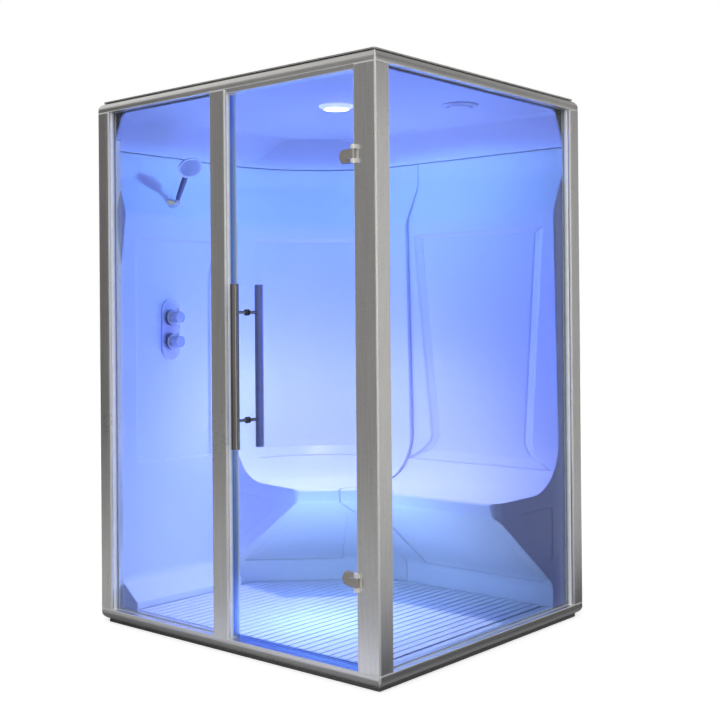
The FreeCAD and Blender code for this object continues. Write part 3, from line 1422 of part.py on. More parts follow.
tray_floor = cell("tray_floor_height")
outlet = cell("drain_outlet_radius")
drain_bore = cell("drain_bore_radius")
drain_drop = tray_floor - cell("drain_floor_gap")
flange = cell("drain_flange_radius")
flange_height = cell("drain_flange_height")
grate_radius = cell("grate_radius")
register(turned("drain_body", [
    (drain_bore, -drain_drop), (outlet, -drain_drop), (outlet, 0), (flange, 0),
    (flange, flange_height), (grate_radius + lens_play, flange_height),
    (grate_radius + lens_play, flange_height / 2), (drain_bore, flange_height / 2)],
    drain_x, drain_y, tray_floor, Vector(0, 0, 1)), "drain_body")
grate_blank = turned("grate_blank", [
    (0, 0), (grate_radius, 0), (grate_radius, cell("grate_height")), (0, cell("grate_height"))],
    drain_x, drain_y, tray_floor + flange_height / 2, Vector(0, 0, 1))
bar_pitch = drain_bore * 2 / int(num("grate_bars"))
slots = [box(f"grate_slot_{index}",
             (drain_x - drain_bore + bar_pitch * index + bar_pitch / 4,
              drain_x - drain_bore + bar_pitch * (index + 1) - bar_pitch / 4),
             (drain_y - drain_bore * 0.7, drain_y + drain_bore * 0.7),
             (tray_floor, tray_floor + cell("drain_flange_height") * 2))
         for index in range(int(num("grate_bars")))]
register(cut("drain_grate", grate_blank, joined("grate_slots", slots)), "drain_grate")

foot_x = tray_right - cell("foot_inset")
feet = []
for index, (x, y) in enumerate([
        (-foot_x, frame_back + cell("foot_inset")), (foot_x, frame_back + cell("foot_inset")),
        (-foot_x, tray_back - cell("foot_inset")), (foot_x, tray_back - cell("foot_inset")),
        (drain_x + cell("foot_inset") * 3, drain_y)]):
    foot_top = tray_floor - cell("tray_thickness")
    foot = cell("foot_radius")
    feet.append(turned(f"foot_{index}", [
        (0, 0), (foot, 0), (foot, foot_top / 3), (foot / 3, foot_top / 2), (foot / 3, foot_top),
        (0, foot_top)], x, y, 0, Vector(0, 0, 1)))
register(group("levelling_feet", feet), "levelling_feet")

# ---------------------------------------------------------------------------------------
# Mixer
# ---------------------------------------------------------------------------------------
panel_face = left_wall
plate_thickness = cell("mixer_plate_thickness")
half_width = cell("mixer_plate_width") / 2
half_height = cell("mixer_plate_height") / 2
bonnet = cell("bonnet_radius")
plate = extrusion("mixer_plate", "x", panel_face, panel_face + plate_thickness, [
    rectangle(mixer_y - half_width, mixer_y + half_width, mixer_z - half_height, mixer_z + half_height)],
    [(mixer_y, height, bonnet + cell("clamp_pad")) for height in knob_heights.values()])
soften(plate, "Fillet", half_width - cell("clamp_pad"),
       lambda p: abs(abs(p.z - mixer_z.value) - half_height.value) < 0.01
       and abs(abs(p.y - mixer_y.value) - half_width.value) < 0.01, axis="x")
register(plate, "mixer_plate")

body_front = panel_face - cell("skin")
bonnet_end = panel_face + plate_thickness + cell("clamp_thickness") / 2
socket_end = body_front - cell("clamp_thickness")
block = box("mixer_block", (left_cladding, body_front), (mixer_y - half_width / 2, mixer_y + half_width / 2),
            (mixer_z - half_height * 0.75, mixer_z + half_height * 0.75))
bonnets = [cylinder(f"{side}_bonnet", body_front - plate_thickness, mixer_y, height, bonnet,
                    bonnet_end - body_front + plate_thickness, Vector(1, 0, 0))
           for side, height in knob_heights.items()]
stubs = [cylinder(f"{side}_inlet", left, mixer_y, height, cell("inlet_radius"),
                  left_cladding - left + plate_thickness, Vector(1, 0, 0))
         for side, height in inlet_heights.items()]
bores = [cylinder(f"{side}_inlet_bore", left, mixer_y, height, cell("inlet_bore_radius"),
                  cell("inlet_bore_depth"), Vector(1, 0, 0))
         for side, height in inlet_heights.items()]
bores += [cylinder(f"{side}_spindle_bore", socket_end, mixer_y, height,
                   cell("spindle_radius") + cell("spindle_play"), bonnet_end - socket_end,
                   Vector(1, 0, 0))
          for side, height in knob_heights.items()]
register(cut("mixer_body", joined("mixer_casting", [block, *bonnets, *stubs]), *bores), "mixer_body")

for side, height in knob_heights.items():
    length = cell("knob_length")
    knob_gap = cell("knob_gap")
    knob = cell("knob_radius")
    spindle = cell("spindle_radius")
    start = bonnet_end + knob_gap
    shaft_end = -(start - socket_end - knob_gap)
    collar = cell("knob_collar_length")
    grip_end = collar + cell("knob_grip_length")
    seam = knob_gap * 1.5
    cap = cell("knob_cap_radius")
    turned_knob = turned(f"{side}_knob_turned", [
        (0, shaft_end), (spindle, shaft_end), (spindle, 0), (knob - seam, 0), (knob, seam),
        (knob, collar - seam), (knob - seam, collar), (cap, collar), (cap, grip_end),
        (cap - seam, grip_end), (cap - seam, grip_end + seam), (cap, grip_end + seam),
        (cap, length - seam * 2), (cap - seam * 2, length), (0, length)],
        start, mixer_y, height, Vector(1, 0, 0))
    lever = cylinder(f"{side}_lever", start + grip_end - seam * 4, mixer_y, height + cap / 2,
                     cell("lever_radius"), cap / 2 + cell("lever_length"))
    register(joined(f"{side}_knob", [turned_knob, lever]), f"{side}_knob")

# ---------------------------------------------------------------------------------------
# Shower head on its wall elbow
# ---------------------------------------------------------------------------------------
turn = math.radians(num("shower_turn"))
lean = math.radians(num("shower_arm_lean"))
tilt = math.radians(num("shower_face_tilt"))
outward = Vector(math.cos(turn), -math.sin(turn), 0)
axle_way = Vector(math.sin(turn), math.cos(turn), 0)
upward = Vector(0, 0, 1)
arm_way = outward * math.sin(lean) + upward * math.cos(lean)
lead_way = outward * math.cos(lean) - upward * math.sin(lean)
face_way = outward * math.sin(tilt) - upward * math.cos(tilt)
pivot = (left_wall + cell("shower_reach"), shower_y, shower_z)


def along(start, way, distance):
    """A place a distance away from another one, as three sizes."""
    return [as_size(size) + as_size(distance) * step for size, step in zip(start, way)]


# The elbow's flange is scribed to the wall's shoulder, whose surface leans here. Two ears hold
# the axle that the shower's foot turns on.
pivot_point = Vector(*[size.value for size in pivot])
pipe_radius = num("shower_pipe_radius")
reach = num("shower_reach")
ear_radius = num("shower_ear_radius")
ear_spread = num("shower_ear_spread")
root = pivot_point - Vector(reach, 0, 0)
pipe = Part.makeCylinder(pipe_radius, pivot_point.x - left_cladding.value,
                         Vector(left_cladding.value, pivot_point.y, pivot_point.z), Vector(1, 0, 0))
cone = Part.makeCone(num("shower_flange_radius") + ear_radius, ear_radius, reach, root, Vector(1, 0, 0))
plug = Part.makeCylinder(num("shower_flange_radius"), reach, root, Vector(1, 0, 0))
ears = Part.makeCylinder(ear_radius, ear_spread, pivot_point - axle_way * (ear_spread / 2), axle_way)
slot_width = num("shower_foot_width") + 2 * num("shower_foot_play")
slot = Part.makeCylinder(ear_radius + num("clamp_pad"), slot_width,
                         pivot_point - axle_way * (slot_width / 2), axle_way)
axle = Part.makeCylinder(num("shower_axle_radius"), ear_spread,
                         pivot_point - axle_way * (ear_spread / 2), axle_way)
elbow = cone.common(plug).common(left_void(0)).fuse(pipe).fuse(ears).cut(slot).fuse(axle)
shaped("shower_wall_elbow", elbow.removeSplitter())

# The shower: a foot on the axle, a neck, a tapered grip and a disc with a grey spray face.
arm_length = cell("shower_arm_length")
grip_radius = cell("shower_grip_radius")
head_radius = cell("shower_head_radius")
head_thick = cell("shower_head_thickness")
foot_width = cell("shower_foot_width")
neck_radius = cell("shower_neck_radius")
neck_end = cell("shower_neck_length")
grip_end = arm_length + head_radius * 0.7
foot = cylinder("shower_foot", *along(pivot, axle_way, -foot_width / 2), cell("shower_foot_radius"),
                foot_width, axle_way)
grip = turned("shower_grip", [
    (0, 0), (neck_radius, 0), (neck_radius, neck_end), (grip_radius * 0.85, neck_end),
    (grip_radius * 1.1, grip_end), (0, grip_end)], *pivot, arm_way)
rim_thick = head_thick * 0.45
face_radius = head_radius * 0.88
face_step = rim_thick * 0.4
head_centre = along(along(pivot, arm_way, arm_length + head_radius * 0.97), lead_way,
                    cell("shower_head_lead"))
disc = turned("shower_disc", [
    (0, -head_thick), (head_radius * 0.5, -head_thick), (head_radius, -rim_thick), (head_radius, 0),
    (face_radius, 0), (face_radius, -face_step), (0, -face_step)], *head_centre, face_way)
axle_bore = cylinder("shower_axle_bore", *along(pivot, axle_way, -foot_width / 2),
                     cell("shower_axle_radius") + cell("shower_axle_play"), foot_width, axle_way)
register(cut("shower_head", joined("shower_head_body", [foot, grip, disc]), axle_bore), "shower_head")
register(cylinder("spray_face", *along(head_centre, face_way, -face_step), face_radius,
                  rim_thick * 0.3, face_way), "spray_face")

# Steam nozzle with the stub of its supply pipe behind the kick panel.
steam_bore = cell("steam_bore_radius")
steam_pipe = cell("steam_pipe_radius")
steam_flange = cell("steam_radius")
steam_reach = cell("steam_reach")
steam_bevel = cell("steam_bevel")
steam_tail = cell("steam_tail")
register(turned("steam_nozzle", [
    (steam_bore, -steam_tail), (steam_pipe, -steam_tail), (steam_pipe, 0), (steam_flange, 0),
    (steam_flange, steam_reach - steam_bevel), (steam_flange - steam_bevel, steam_reach),
    (steam_bore, steam_reach)], steam_x, steam_y, steam_z, steam_way), "steam_nozzle")

# ---------------------------------------------------------------------------------------
# Check and write
# ---------------------------------------------------------------------------------------
doc.recompute()
for item in doc.Objects:
    if "Invalid" in item.State or "Error" in item.State:
        raise RuntimeError(f"{item.Label} failed: {item.State}")
for item in nodes:
    if item.Shape.isNull() or not item.Shape.isValid():
        raise RuntimeError(f"{item.Label} has no valid shape")

os.makedirs("parts", exist_ok=True)
for item in nodes:
    item.Shape.exportStep(f"parts/{item.Label}.step")
    print(f"{item.Label}: {len(item.Shape.Solids)} solids, {item.Shape.Volume / 1000:.1f} cm3")
print(len(nodes), "nodes")
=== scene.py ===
import math

import bpy
from mathutils import Matrix, Vector


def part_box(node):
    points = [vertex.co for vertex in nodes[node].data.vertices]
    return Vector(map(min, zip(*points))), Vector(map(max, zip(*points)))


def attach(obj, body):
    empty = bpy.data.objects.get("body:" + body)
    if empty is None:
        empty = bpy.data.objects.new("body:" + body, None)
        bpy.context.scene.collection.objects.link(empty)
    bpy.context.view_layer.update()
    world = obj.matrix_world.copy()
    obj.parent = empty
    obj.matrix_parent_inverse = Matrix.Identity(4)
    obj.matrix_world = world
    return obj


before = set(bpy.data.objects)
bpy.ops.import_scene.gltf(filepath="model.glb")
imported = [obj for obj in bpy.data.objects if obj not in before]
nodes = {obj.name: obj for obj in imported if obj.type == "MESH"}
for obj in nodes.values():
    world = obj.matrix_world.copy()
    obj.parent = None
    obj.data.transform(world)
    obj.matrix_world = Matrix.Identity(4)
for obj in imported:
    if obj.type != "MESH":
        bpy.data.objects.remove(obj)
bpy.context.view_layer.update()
scene = bpy.context.scene

# ---------------------------------------------------------------------------------------
# Camera: the photograph's viewing angle
# ---------------------------------------------------------------------------------------
YAW, PITCH, ROLL = math.radians(40.67), math.radians(0.2295), math.radians(-0.4778)
EYE = Vector((3.2170, -3.5955, 1.2397))
SENSOR_WIDTH = 36
FOCAL_LENGTH = 58.25
SHIFT_UP = -0.0623
FAR_CLIP = 60


def add_camera():
    look = Vector((-math.sin(YAW) * math.cos(PITCH), math.cos(YAW) * math.cos(PITCH), math.sin(PITCH)))
    side = Vector((math.cos(YAW), math.sin(YAW), 0))
    up = side.cross(look)
    turned_side = side * math.cos(ROLL) + up * math.sin(ROLL)
    turned_up = up * math.cos(ROLL) - side * math.sin(ROLL)
    data = bpy.data.cameras.new("camera")
    data.sensor_width = SENSOR_WIDTH
    data.lens = FOCAL_LENGTH
    data.shift_y = SHIFT_UP
    data.clip_end = FAR_CLIP
    camera = bpy.data.objects.new("camera", data)
    axes = Matrix((turned_side, turned_up, -look)).transposed()
    camera.matrix_world = Matrix.Translation(EYE) @ axes.to_4x4()
    scene.collection.objects.link(camera)
    scene.camera = camera


add_camera()


# ---------------------------------------------------------------------------------------
# Node helpers
# ---------------------------------------------------------------------------------------
class Tree:
    """A material's nodes, added by type with their inputs set or linked by name."""

    def __init__(self, name):
        self.material = bpy.data.materials.new(name)
        self.material.use_nodes = True
        self.nodes = self.material.node_tree.nodes
        self.links = self.material.node_tree.links
        self.nodes.clear()
        self.output = self.nodes.new("ShaderNodeOutputMaterial")

    def add(self, kind, inputs=None, **settings):
        node = self.nodes.new("ShaderNode" + kind)
        for key, value in settings.items():
            setattr(node, key, value)
        for key, value in (inputs or {}).items():
            self.feed(node.inputs[key], value)
        return node

    def feed(self, socket, value):
        if isinstance(value, bpy.types.NodeSocket):
            self.links.new(value, socket)
        elif isinstance(value, bpy.types.Node):
            self.links.new(value.outputs[0], socket)
        elif hasattr(value, "__len__") and socket.type == "RGBA" and len(value) == 3:
            socket.default_value = (*value, 1)
        else:
            socket.default_value = value

    def math(self, operation, *values):
        node = self.add("Math", operation=operation)
        for socket, value in zip(node.inputs, values):
            self.feed(socket, value)
        return node.outputs[0]

    def place(self):
        """The point's place in the object's own axes, as X, Y and Z outputs."""
        return self.add("SeparateXYZ", {0: self.add("TexCoord").outputs["Object"]}).outputs

    def noise(self, scale, stretch=(1, 1, 1), detail=3.0, rough=0.5):
        place = self.add("TexCoord").outputs["Object"]
        spread = self.add("Mapping", {"Vector": place, "Scale": stretch})
        return self.add("TexNoise", {"Vector": spread, "Scale": scale, "Detail": detail,
                                     "Roughness": rough}).outputs["Fac"]

    def span(self, factor, low, high, start=0.3, end=0.7):
        """A value from low to high while the factor goes from start to end."""
        return self.add("MapRange", {"Value": factor, "From Min": start, "From Max": end,
                                     "To Min": low, "To Max": high}).outputs["Result"]

    def tint(self, factor, dark, light, start=0.3, end=0.7):
        """A colour from dark to light while the factor goes from start to end."""
        ramp = self.add("ValToRGB", {"Fac": factor})
        for element, position, colour in zip(ramp.color_ramp.elements, (start, end), (dark, light)):
            element.position = position
            element.color = (*colour, 1)
        return ramp.outputs["Color"]

    def bump(self, height, strength, distance, normal=None):
        inputs = {"Height": height, "Strength": strength, "Distance": distance}
        if normal is not None:
            inputs["Normal"] = normal
        return self.add("Bump", inputs).outputs["Normal"]

    def rounded(self, radius):
        """The normal that the piece would have with its edges rounded to this radius."""
        return self.add("Bevel", {"Radius": radius}, samples=8).outputs["Normal"]

    def principled(self, **inputs):
        """A Principled shader, whose inputs are named here in lower case."""
        named = {key.replace("_", " ").title().replace("Ior", "IOR"): value for key, value in inputs.items()}
        return self.add("BsdfPrincipled", named)

    def finish(self, shader):
        self.links.new(shader.outputs[0], self.output.inputs["Surface"])
        return self.material


def shade(colour, factor):
    return tuple(min(channel * factor, 1) for channel in colour)


# ---------------------------------------------------------------------------------------
# Materials
# ---------------------------------------------------------------------------------------
WHITE = (1, 1, 1)
METAL = (0.80, 0.795, 0.78)
CHROME = (0.78, 0.79, 0.81)
ACRYLIC = (0.86, 0.89, 0.93)
BRUSHED_SHARE = 0.45
RIDGES_ROUND_COLLAR = 14
RIDGES_ALONG_COLLAR = 900
COLLAR_DEPTH = 0.016


def brushed_metal(name, stretch, colour=METAL, roughness=0.30, edge_width=0.007):
    """Satin metal: fine brushing along one axis, a blasted speckle and a painted highlight along the edges.
    """
    tree = Tree(name)
    brushing = tree.noise(260, stretch, detail=2)
    speckle = tree.noise(170, detail=4, rough=0.8)
    marks = tree.noise(3.0, detail=4, rough=0.6)
    grain = tree.math("ADD", tree.math("MULTIPLY", brushing, BRUSHED_SHARE),
                      tree.math("MULTIPLY", speckle, 1 - BRUSHED_SHARE))
    rounded = tree.rounded(edge_width)
    flat = tree.add("NewGeometry").outputs["Normal"]
    alike = tree.add("VectorMath", {0: rounded, 1: flat}, operation="DOT_PRODUCT").outputs["Value"]
    edge = tree.span(alike, 0.9, 0.0, 0.93, 0.985)
    face = tree.principled(
        base_color=tree.tint(grain, shade(colour, 0.91), shade(colour, 1.07), 0.38, 0.62),
        metallic=1.0,
        roughness=tree.math("ADD", tree.span(grain, roughness - 0.03, roughness + 0.04),
                            tree.span(marks, -0.03, 0.04)),
        normal=tree.bump(grain, 0.06, 0.0003, rounded))
    # Painted highlight: near the edges the finish turns pale and scarcely metallic, which shows as bright
    # edge lines.
    edge_highlight = tree.principled(
        base_color=tree.tint(grain, (0.80, 0.80, 0.79), (0.93, 0.93, 0.92)),
        metallic=0.15,
        roughness=0.40)
    return tree.finish(tree.add("MixShader", {0: edge, 1: face, 2: edge_highlight}))


def polished_metal(name, colour=CHROME, roughness=0.07):
    """Chrome with faint water marks."""
    tree = Tree(name)
    marks = tree.noise(55, detail=4, rough=0.65)
    cloud = tree.noise(9, detail=2)
    return tree.finish(tree.principled(
        base_color=tree.tint(cloud, shade(colour, 0.95), shade(colour, 1.04)),
        metallic=1.0,
        roughness=tree.span(marks, roughness, roughness + 0.07, 0.35, 0.75),
        normal=tree.bump(cloud, 0.03, 0.0005)))


def plain_plastic(name, colour, roughness=0.5, grain=600, depth=0.0002, contrast=0.06):
    """Moulded plastic, rubber, painted sheet or raw casting with a fine grain."""
    tree = Tree(name)
    fine = tree.noise(grain, detail=2)
    cloud = tree.noise(14, detail=3)
    return tree.finish(tree.principled(
        base_color=tree.tint(cloud, shade(colour, 1 - contrast), shade(colour, 1 + contrast)),
        roughness=tree.span(fine, roughness - 0.04, roughness + 0.06),
        normal=tree.bump(fine, 0.12, depth)))


def acrylic(name, colour=ACRYLIC, roughness=0.30, rounding=0.009):
    """Sanitary acrylic: softly moulded edges, a long waviness and faint dried water spots."""
    tree = Tree(name)
    wave = tree.noise(7, detail=2)
    spots = tree.noise(120, detail=5, rough=0.7)
    cloud = tree.noise(2.2, detail=3)
    return tree.finish(tree.principled(
        base_color=tree.tint(cloud, shade(colour, 0.975), shade(colour, 1.015)),
        roughness=tree.span(spots, roughness, roughness + 0.10, 0.45, 0.75),
        ior=1.49,
        normal=tree.bump(wave, 0.10, 0.004, tree.rounded(rounding))))


def clear_glass(name, tint=(0.955, 0.985, 0.99)):
    """Clear toughened glass: it lets all light straight through and mirrors a little."""
    tree = Tree(name)
    smear = tree.noise(5, detail=4, rough=0.6)
    slant = tree.add("LayerWeight", {"Blend": 0.5}).outputs["Facing"]
    mirror = tree.math("ADD", tree.math("MULTIPLY", tree.math("POWER", slant, 5.0), 0.6), 0.025)
    clear = tree.add("BsdfTransparent", {"Color": tint})
    shine = tree.add("BsdfGlossy", {"Color": WHITE, "Roughness": tree.span(smear, 0.0, 0.03, 0.5, 0.8)})
    return tree.finish(tree.add("MixShader", {0: mirror, 1: clear, 2: shine}))


def satin_metal(name, colour, metallic, roughness):
    """Plated or coated metal whose skin scatters part of the light."""
    tree = Tree(name)
    fine = tree.noise(500, detail=2)
    cloud = tree.noise(24, detail=3)
    return tree.finish(tree.principled(
        base_color=tree.tint(cloud, shade(colour, 0.94), shade(colour, 1.05)),
        metallic=metallic,
        roughness=tree.span(fine, roughness - 0.04, roughness + 0.06),
        normal=tree.bump(fine, 0.08, 0.0002)))


def knurled_metal(name, wall, centres):
    """Chrome tap handle: a dark diamond-cut collar beside the wall and a smooth cap, both with a painted
    blue cast of the cabin's light; the collar's grooves carry painted shade.
    """
    tree = Tree(name)
    place = tree.place()
    middle = (centres[0].z + centres[1].z) / 2
    gap = abs(centres[0].z - centres[1].z) / 2
    mirrored = tree.math("ABSOLUTE", tree.math("SUBTRACT", place["Z"], middle))
    lift = tree.math("SUBTRACT", mirrored, gap)
    across = tree.math("SUBTRACT", place["Y"], centres[0].y)
    turn = tree.math("MULTIPLY", tree.math("ARCTAN2", lift, across), RIDGES_ROUND_COLLAR)
    reach = tree.math("MULTIPLY", tree.math("SUBTRACT", place["X"], wall), RIDGES_ALONG_COLLAR)
    cut = tree.math("MULTIPLY", tree.math("SINE", tree.math("ADD", turn, reach)),
                    tree.math("SINE", tree.math("SUBTRACT", turn, reach)))
    rim = wall + COLLAR_DEPTH
    on_collar = tree.span(place["X"], 1.0, 0.0, rim - 0.001, rim)
    relief = tree.math("MULTIPLY", cut, on_collar)
    # Painted shade: the collar's grooves are darker than its ridges.
    dark = tree.math("MULTIPLY", tree.span(cut, 1.0, 0.62, -0.2, 0.5), on_collar)
    # Both colours carry a painted blue cast that stands in for the cabin's blue light.
    return tree.finish(tree.principled(
        base_color=tree.tint(dark, (0.66, 0.69, 0.78), (0.03, 0.04, 0.12), 0.2, 0.9),
        metallic=0.55,
        roughness=0.14,
        normal=tree.bump(relief, 0.8, 0.0012)))


def lamp_glow(name, strength):
    """White plastic that gives off light: the lens is the lamp itself, while the bezel's faint glow is
    painted light.
    """
    tree = Tree(name)
    cloud = tree.noise(25, detail=2)
    return tree.finish(tree.principled(
        base_color=tree.tint(cloud, (0.85, 0.88, 0.9), (0.93, 0.95, 0.97)),
        roughness=0.35,
        emission_color=(0.80, 0.90, 1.0),
        emission_strength=strength))


UPRIGHT, ALONG_X, ALONG_Y = (1, 1, 0.02), (0.02, 1, 1), (1, 0.02, 1)
post_metal = brushed_metal("post_metal", UPRIGHT)
rail_metal = brushed_metal("rail_metal", ALONG_X)
side_rail_metal = brushed_metal("side_rail_metal", ALONG_Y)
bar_metal = polished_metal("bar_metal", (0.25, 0.24, 0.23), 0.03)
# Painted light: the inner bar's blue-grey colour stands in for the cabin's blue light on it.
inner_bar_painted_blue_light = satin_metal("inner_bar_painted_blue_light", (0.52, 0.55, 0.78), 0.15, 0.20)
stud_metal = polished_metal("stud_metal", (0.28, 0.28, 0.29), 0.14)
chrome = polished_metal("chrome")
plate_metal = satin_metal("plate_metal", (0.78, 0.80, 0.86), 0.25, 0.18)
lug_metal = satin_metal("lug_metal", (0.92, 0.92, 0.91), 0.45, 0.18)
hinge_metal = satin_metal("hinge_metal", (0.42, 0.39, 0.35), 0.55, 0.38)
bead_metal = satin_metal("bead_metal", (0.93, 0.93, 0.91), 0.20, 0.32)
cap_metal = brushed_metal("cap_metal", ALONG_X, (0.66, 0.66, 0.65), 0.36, 0.002)
white_acrylic = acrylic("white_acrylic")
slat_plastic = plain_plastic("slat_plastic", (0.84, 0.87, 0.90), 0.42, 300, 0.0004, 0.03)
tray_acrylic = acrylic("tray_acrylic", (0.80, 0.83, 0.86), 0.25)
plinth_metal = brushed_metal("plinth_metal", ALONG_X, (0.24, 0.24, 0.24), 0.30, 0.001)
gasket_rubber = plain_plastic("gasket_rubber", (0.50, 0.52, 0.55))
seal_plastic = clear_glass("seal_plastic", (0.66, 0.77, 0.97))
bush_plastic = plain_plastic("bush_plastic", (0.04, 0.04, 0.045), 0.4)
sheet_grey = plain_plastic("sheet_grey", (0.62, 0.63, 0.63), 0.4, 900, 0.0001, 0.03)
brass_cast = plain_plastic("brass_cast", (0.50, 0.34, 0.14), 0.45, 400, 0.0005, 0.15)
nozzle_grey = plain_plastic("nozzle_grey", (0.66, 0.70, 0.80), 0.30)
nozzle_dark = plain_plastic("nozzle_dark", (0.07, 0.08, 0.16), 0.45)
grip_plastic = plain_plastic("grip_plastic", (0.20, 0.20, 0.34), 0.25)
glass = clear_glass("cabin_glass")
lens_glow = lamp_glow("lens_glow", 6.0)
# Painted light: the bezel is given a faint glow that stands in for the light it reflects.
bezel_painted_glow = lamp_glow("bezel_painted_glow", 0.55)
KNOB_CENTRES = [(low + high) / 2 for low, high in (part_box("upper_knob"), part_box("lower_knob"))]
knob_metal = knurled_metal("knob_metal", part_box("mixer_plate")[1].x, KNOB_CENTRES)

FINISH = {
    post_metal: ["front_left_post", "mullion", "front_right_post", "rear_right_post", "rear_left_post"],
    rail_metal: ["front_sill", "rear_sill", "front_top_rail", "rear_top_rail", "door_header"],
    side_rail_metal: ["left_sill", "right_sill", "left_top_rail", "right_top_rail"],
    cap_metal: ["roof_cap"],
    plinth_metal: ["base_plinth"],
    sheet_grey: ["left_cladding", "rear_cladding", "lamp_housing"],
    glass: ["front_fixed_glass", "side_glass", "door_glass"],
    gasket_rubber: ["front_glass_gasket", "side_glass_gasket", "hinge_pads"],
    seal_plastic: ["door_strike_seal", "door_bottom_sweep"],
    lug_metal: ["lower_hinge_bracket", "upper_hinge_bracket", "hinge_pins", "hinge_screws"],
    hinge_metal: ["lower_hinge_clamp", "upper_hinge_clamp", "hinge_inner_plates"],
    bar_metal: ["handle_outer_bar"],
    inner_bar_painted_blue_light: ["handle_inner_bar"],
    stud_metal: ["handle_studs"],
    plate_metal: ["mixer_plate", "shower_head"],
    knob_metal: ["upper_knob", "lower_knob"],
    chrome: ["drain_body", "drain_grate", "shower_wall_elbow", "steam_nozzle"],
    bush_plastic: ["handle_bushings", "levelling_feet"],
    white_acrylic: ["left_wall_panel", "corner_seat_module", "right_seat_module", "ceiling_module",
                    "vent_ring", "vent_disc"],
    bezel_painted_glow: ["lamp_bezel"],
    slat_plastic: ["duckboard"],
    tray_acrylic: ["shower_tray"],
    brass_cast: ["mixer_body"],
    nozzle_grey: ["spray_face"],
    lens_glow: ["lamp_lens"],
}
for material, names in FINISH.items():
    for name in names:
        node = nodes[name]
        node.data.materials.clear()
        node.data.materials.append(material)


# ---------------------------------------------------------------------------------------
# Thin trim that the solids leave out
# ---------------------------------------------------------------------------------------
def add_piece(name, points, faces, material, body):
    mesh = bpy.data.meshes.new(name)
    mesh.from_pydata(points, [], faces)
    mesh.materials.append(material)
    piece = bpy.data.objects.new(name, mesh)
    scene.collection.objects.link(piece)
    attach(piece, body)
    return piece


def circle(radius, sides, level=0):
    """Points round the Z axis at one level."""
    angles = [2 * math.pi * side / sides for side in range(sides)]
    return [Vector((radius * math.cos(angle), radius * math.sin(angle), level)) for angle in angles]


def band(start, count):
    """Quads between a closed ring of points that begins at start and the next ring."""
    return [(start + here, start + (here + 1) % count, start + count + (here + 1) % count,
             start + count + here) for here in range(count)]


BEAD_WIDTH = 0.014
BEAD_GAP = 0.0005
BEAD_PROFILE = ((0.0, -0.001), (0.0, 0.0012), (0.0008, 0.002), (0.3 * BEAD_WIDTH, 0.0032),
                (0.62 * BEAD_WIDTH, 0.0036), (BEAD_WIDTH - 0.001, 0.0026), (BEAD_WIDTH, 0.0016),
                (BEAD_WIDTH, -0.001))


def glazing_bead(name, corner, along, out, height):
    """Slightly crowned upright strip that covers a glazing gasket beside a post."""
    count = len(BEAD_PROFILE)
    points = [corner + along * width + out * depth + Vector((0, 0, level))
              for level in (0, height) for width, depth in BEAD_PROFILE]
    faces = band(0, count) + [tuple(range(count)), tuple(range(count, 2 * count))]
    add_piece(name, points, faces, bead_metal, "frame")


for name, post in (("front_left_bead", "front_left_post"), ("mullion_bead", "mullion")):
    low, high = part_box(post)
    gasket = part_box("front_glass_gasket")
    corner = Vector((high.x, gasket[0].y - BEAD_WIDTH - BEAD_GAP, low.z))
    glazing_bead(name, corner, Vector((0, 1, 0)), Vector((1, 0, 0)), high.z - low.z)
low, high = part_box("rear_right_post")
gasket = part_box("side_glass_gasket")
corner = Vector((gasket[1].x + BEAD_WIDTH + BEAD_GAP, low.y, low.z))
glazing_bead("rear_right_bead", corner, Vector((-1, 0, 0)), Vector((0, -1, 0)), high.z - low.z)

# The spray face looks down and out from the wall, a little to the front, and carries rings of studs
LEAN, TURN = math.radians(46), math.radians(16)
STUDS_IN_RINGS = (1, 6, 12, 18, 24)
RING_GAP = 0.0092
RING_TWIST = 0.2
STUD_SIDES = 8
STUD_PROFILE = ((0.0, 0.0026), (0.0026, 0.0022), (0.0034, 0.0013))


def spray_studs():
    low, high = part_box("spray_face")
    middle = (low + high) / 2
    axis = Vector((math.cos(TURN) * math.sin(LEAN), -math.sin(TURN) * math.sin(LEAN), -math.cos(LEAN)))
    turn = axis.to_track_quat("Z", "Y").to_matrix()
    points, faces = [], []
    for ring, count in enumerate(STUDS_IN_RINGS):
        for stud in range(count):
            angle = 2 * math.pi * stud / count + RING_TWIST * ring
            place = Vector((math.cos(angle), math.sin(angle), 0)) * RING_GAP * ring
            start = len(points)
            for level, radius in STUD_PROFILE:
                points += [middle + turn @ (place + point) for point in circle(radius, STUD_SIDES, level)]
            faces += band(start, STUD_SIDES) + band(start + STUD_SIDES, STUD_SIDES)
            faces.append(tuple(range(len(points) - STUD_SIDES, len(points))))
    add_piece("spray_studs", points, faces, nozzle_dark, "shower")


spray_studs()

# The shower grip's moulded sleeve: reach along the arm from its foot, and radius there
ARM = Vector((0.6432, -0.1844, 0.7431))
FOOT = Vector((-0.640, -0.310, 1.750))
SLEEVE = ((0.017, 0.0075), (0.019, 0.0098), (0.040, 0.0104), (0.080, 0.0112), (0.120, 0.0120),
          (0.139, 0.0122), (0.141, 0.0104))
SLEEVE_SIDES = 28


def shower_sleeve():
    line = [FOOT + ARM * reach for reach, radius in SLEEVE]
    points, faces = [], []
    for index, middle in enumerate(line):
        before, after = line[max(index - 1, 0)], line[min(index + 1, len(line) - 1)]
        turn = (after - before).to_track_quat("Z", "Y").to_matrix()
        if index:
            faces += band(len(points) - SLEEVE_SIDES, SLEEVE_SIDES)
        points += [middle + turn @ point for point in circle(SLEEVE[index][1], SLEEVE_SIDES)]
    faces += [tuple(range(SLEEVE_SIDES)), tuple(reversed(range(len(points) - SLEEVE_SIDES, len(points))))]
    piece = add_piece("shower_sleeve", points, faces, grip_plastic, "shower")
    for face in piece.data.polygons:
        face.use_smooth = len(face.vertices) == 4


shower_sleeve()

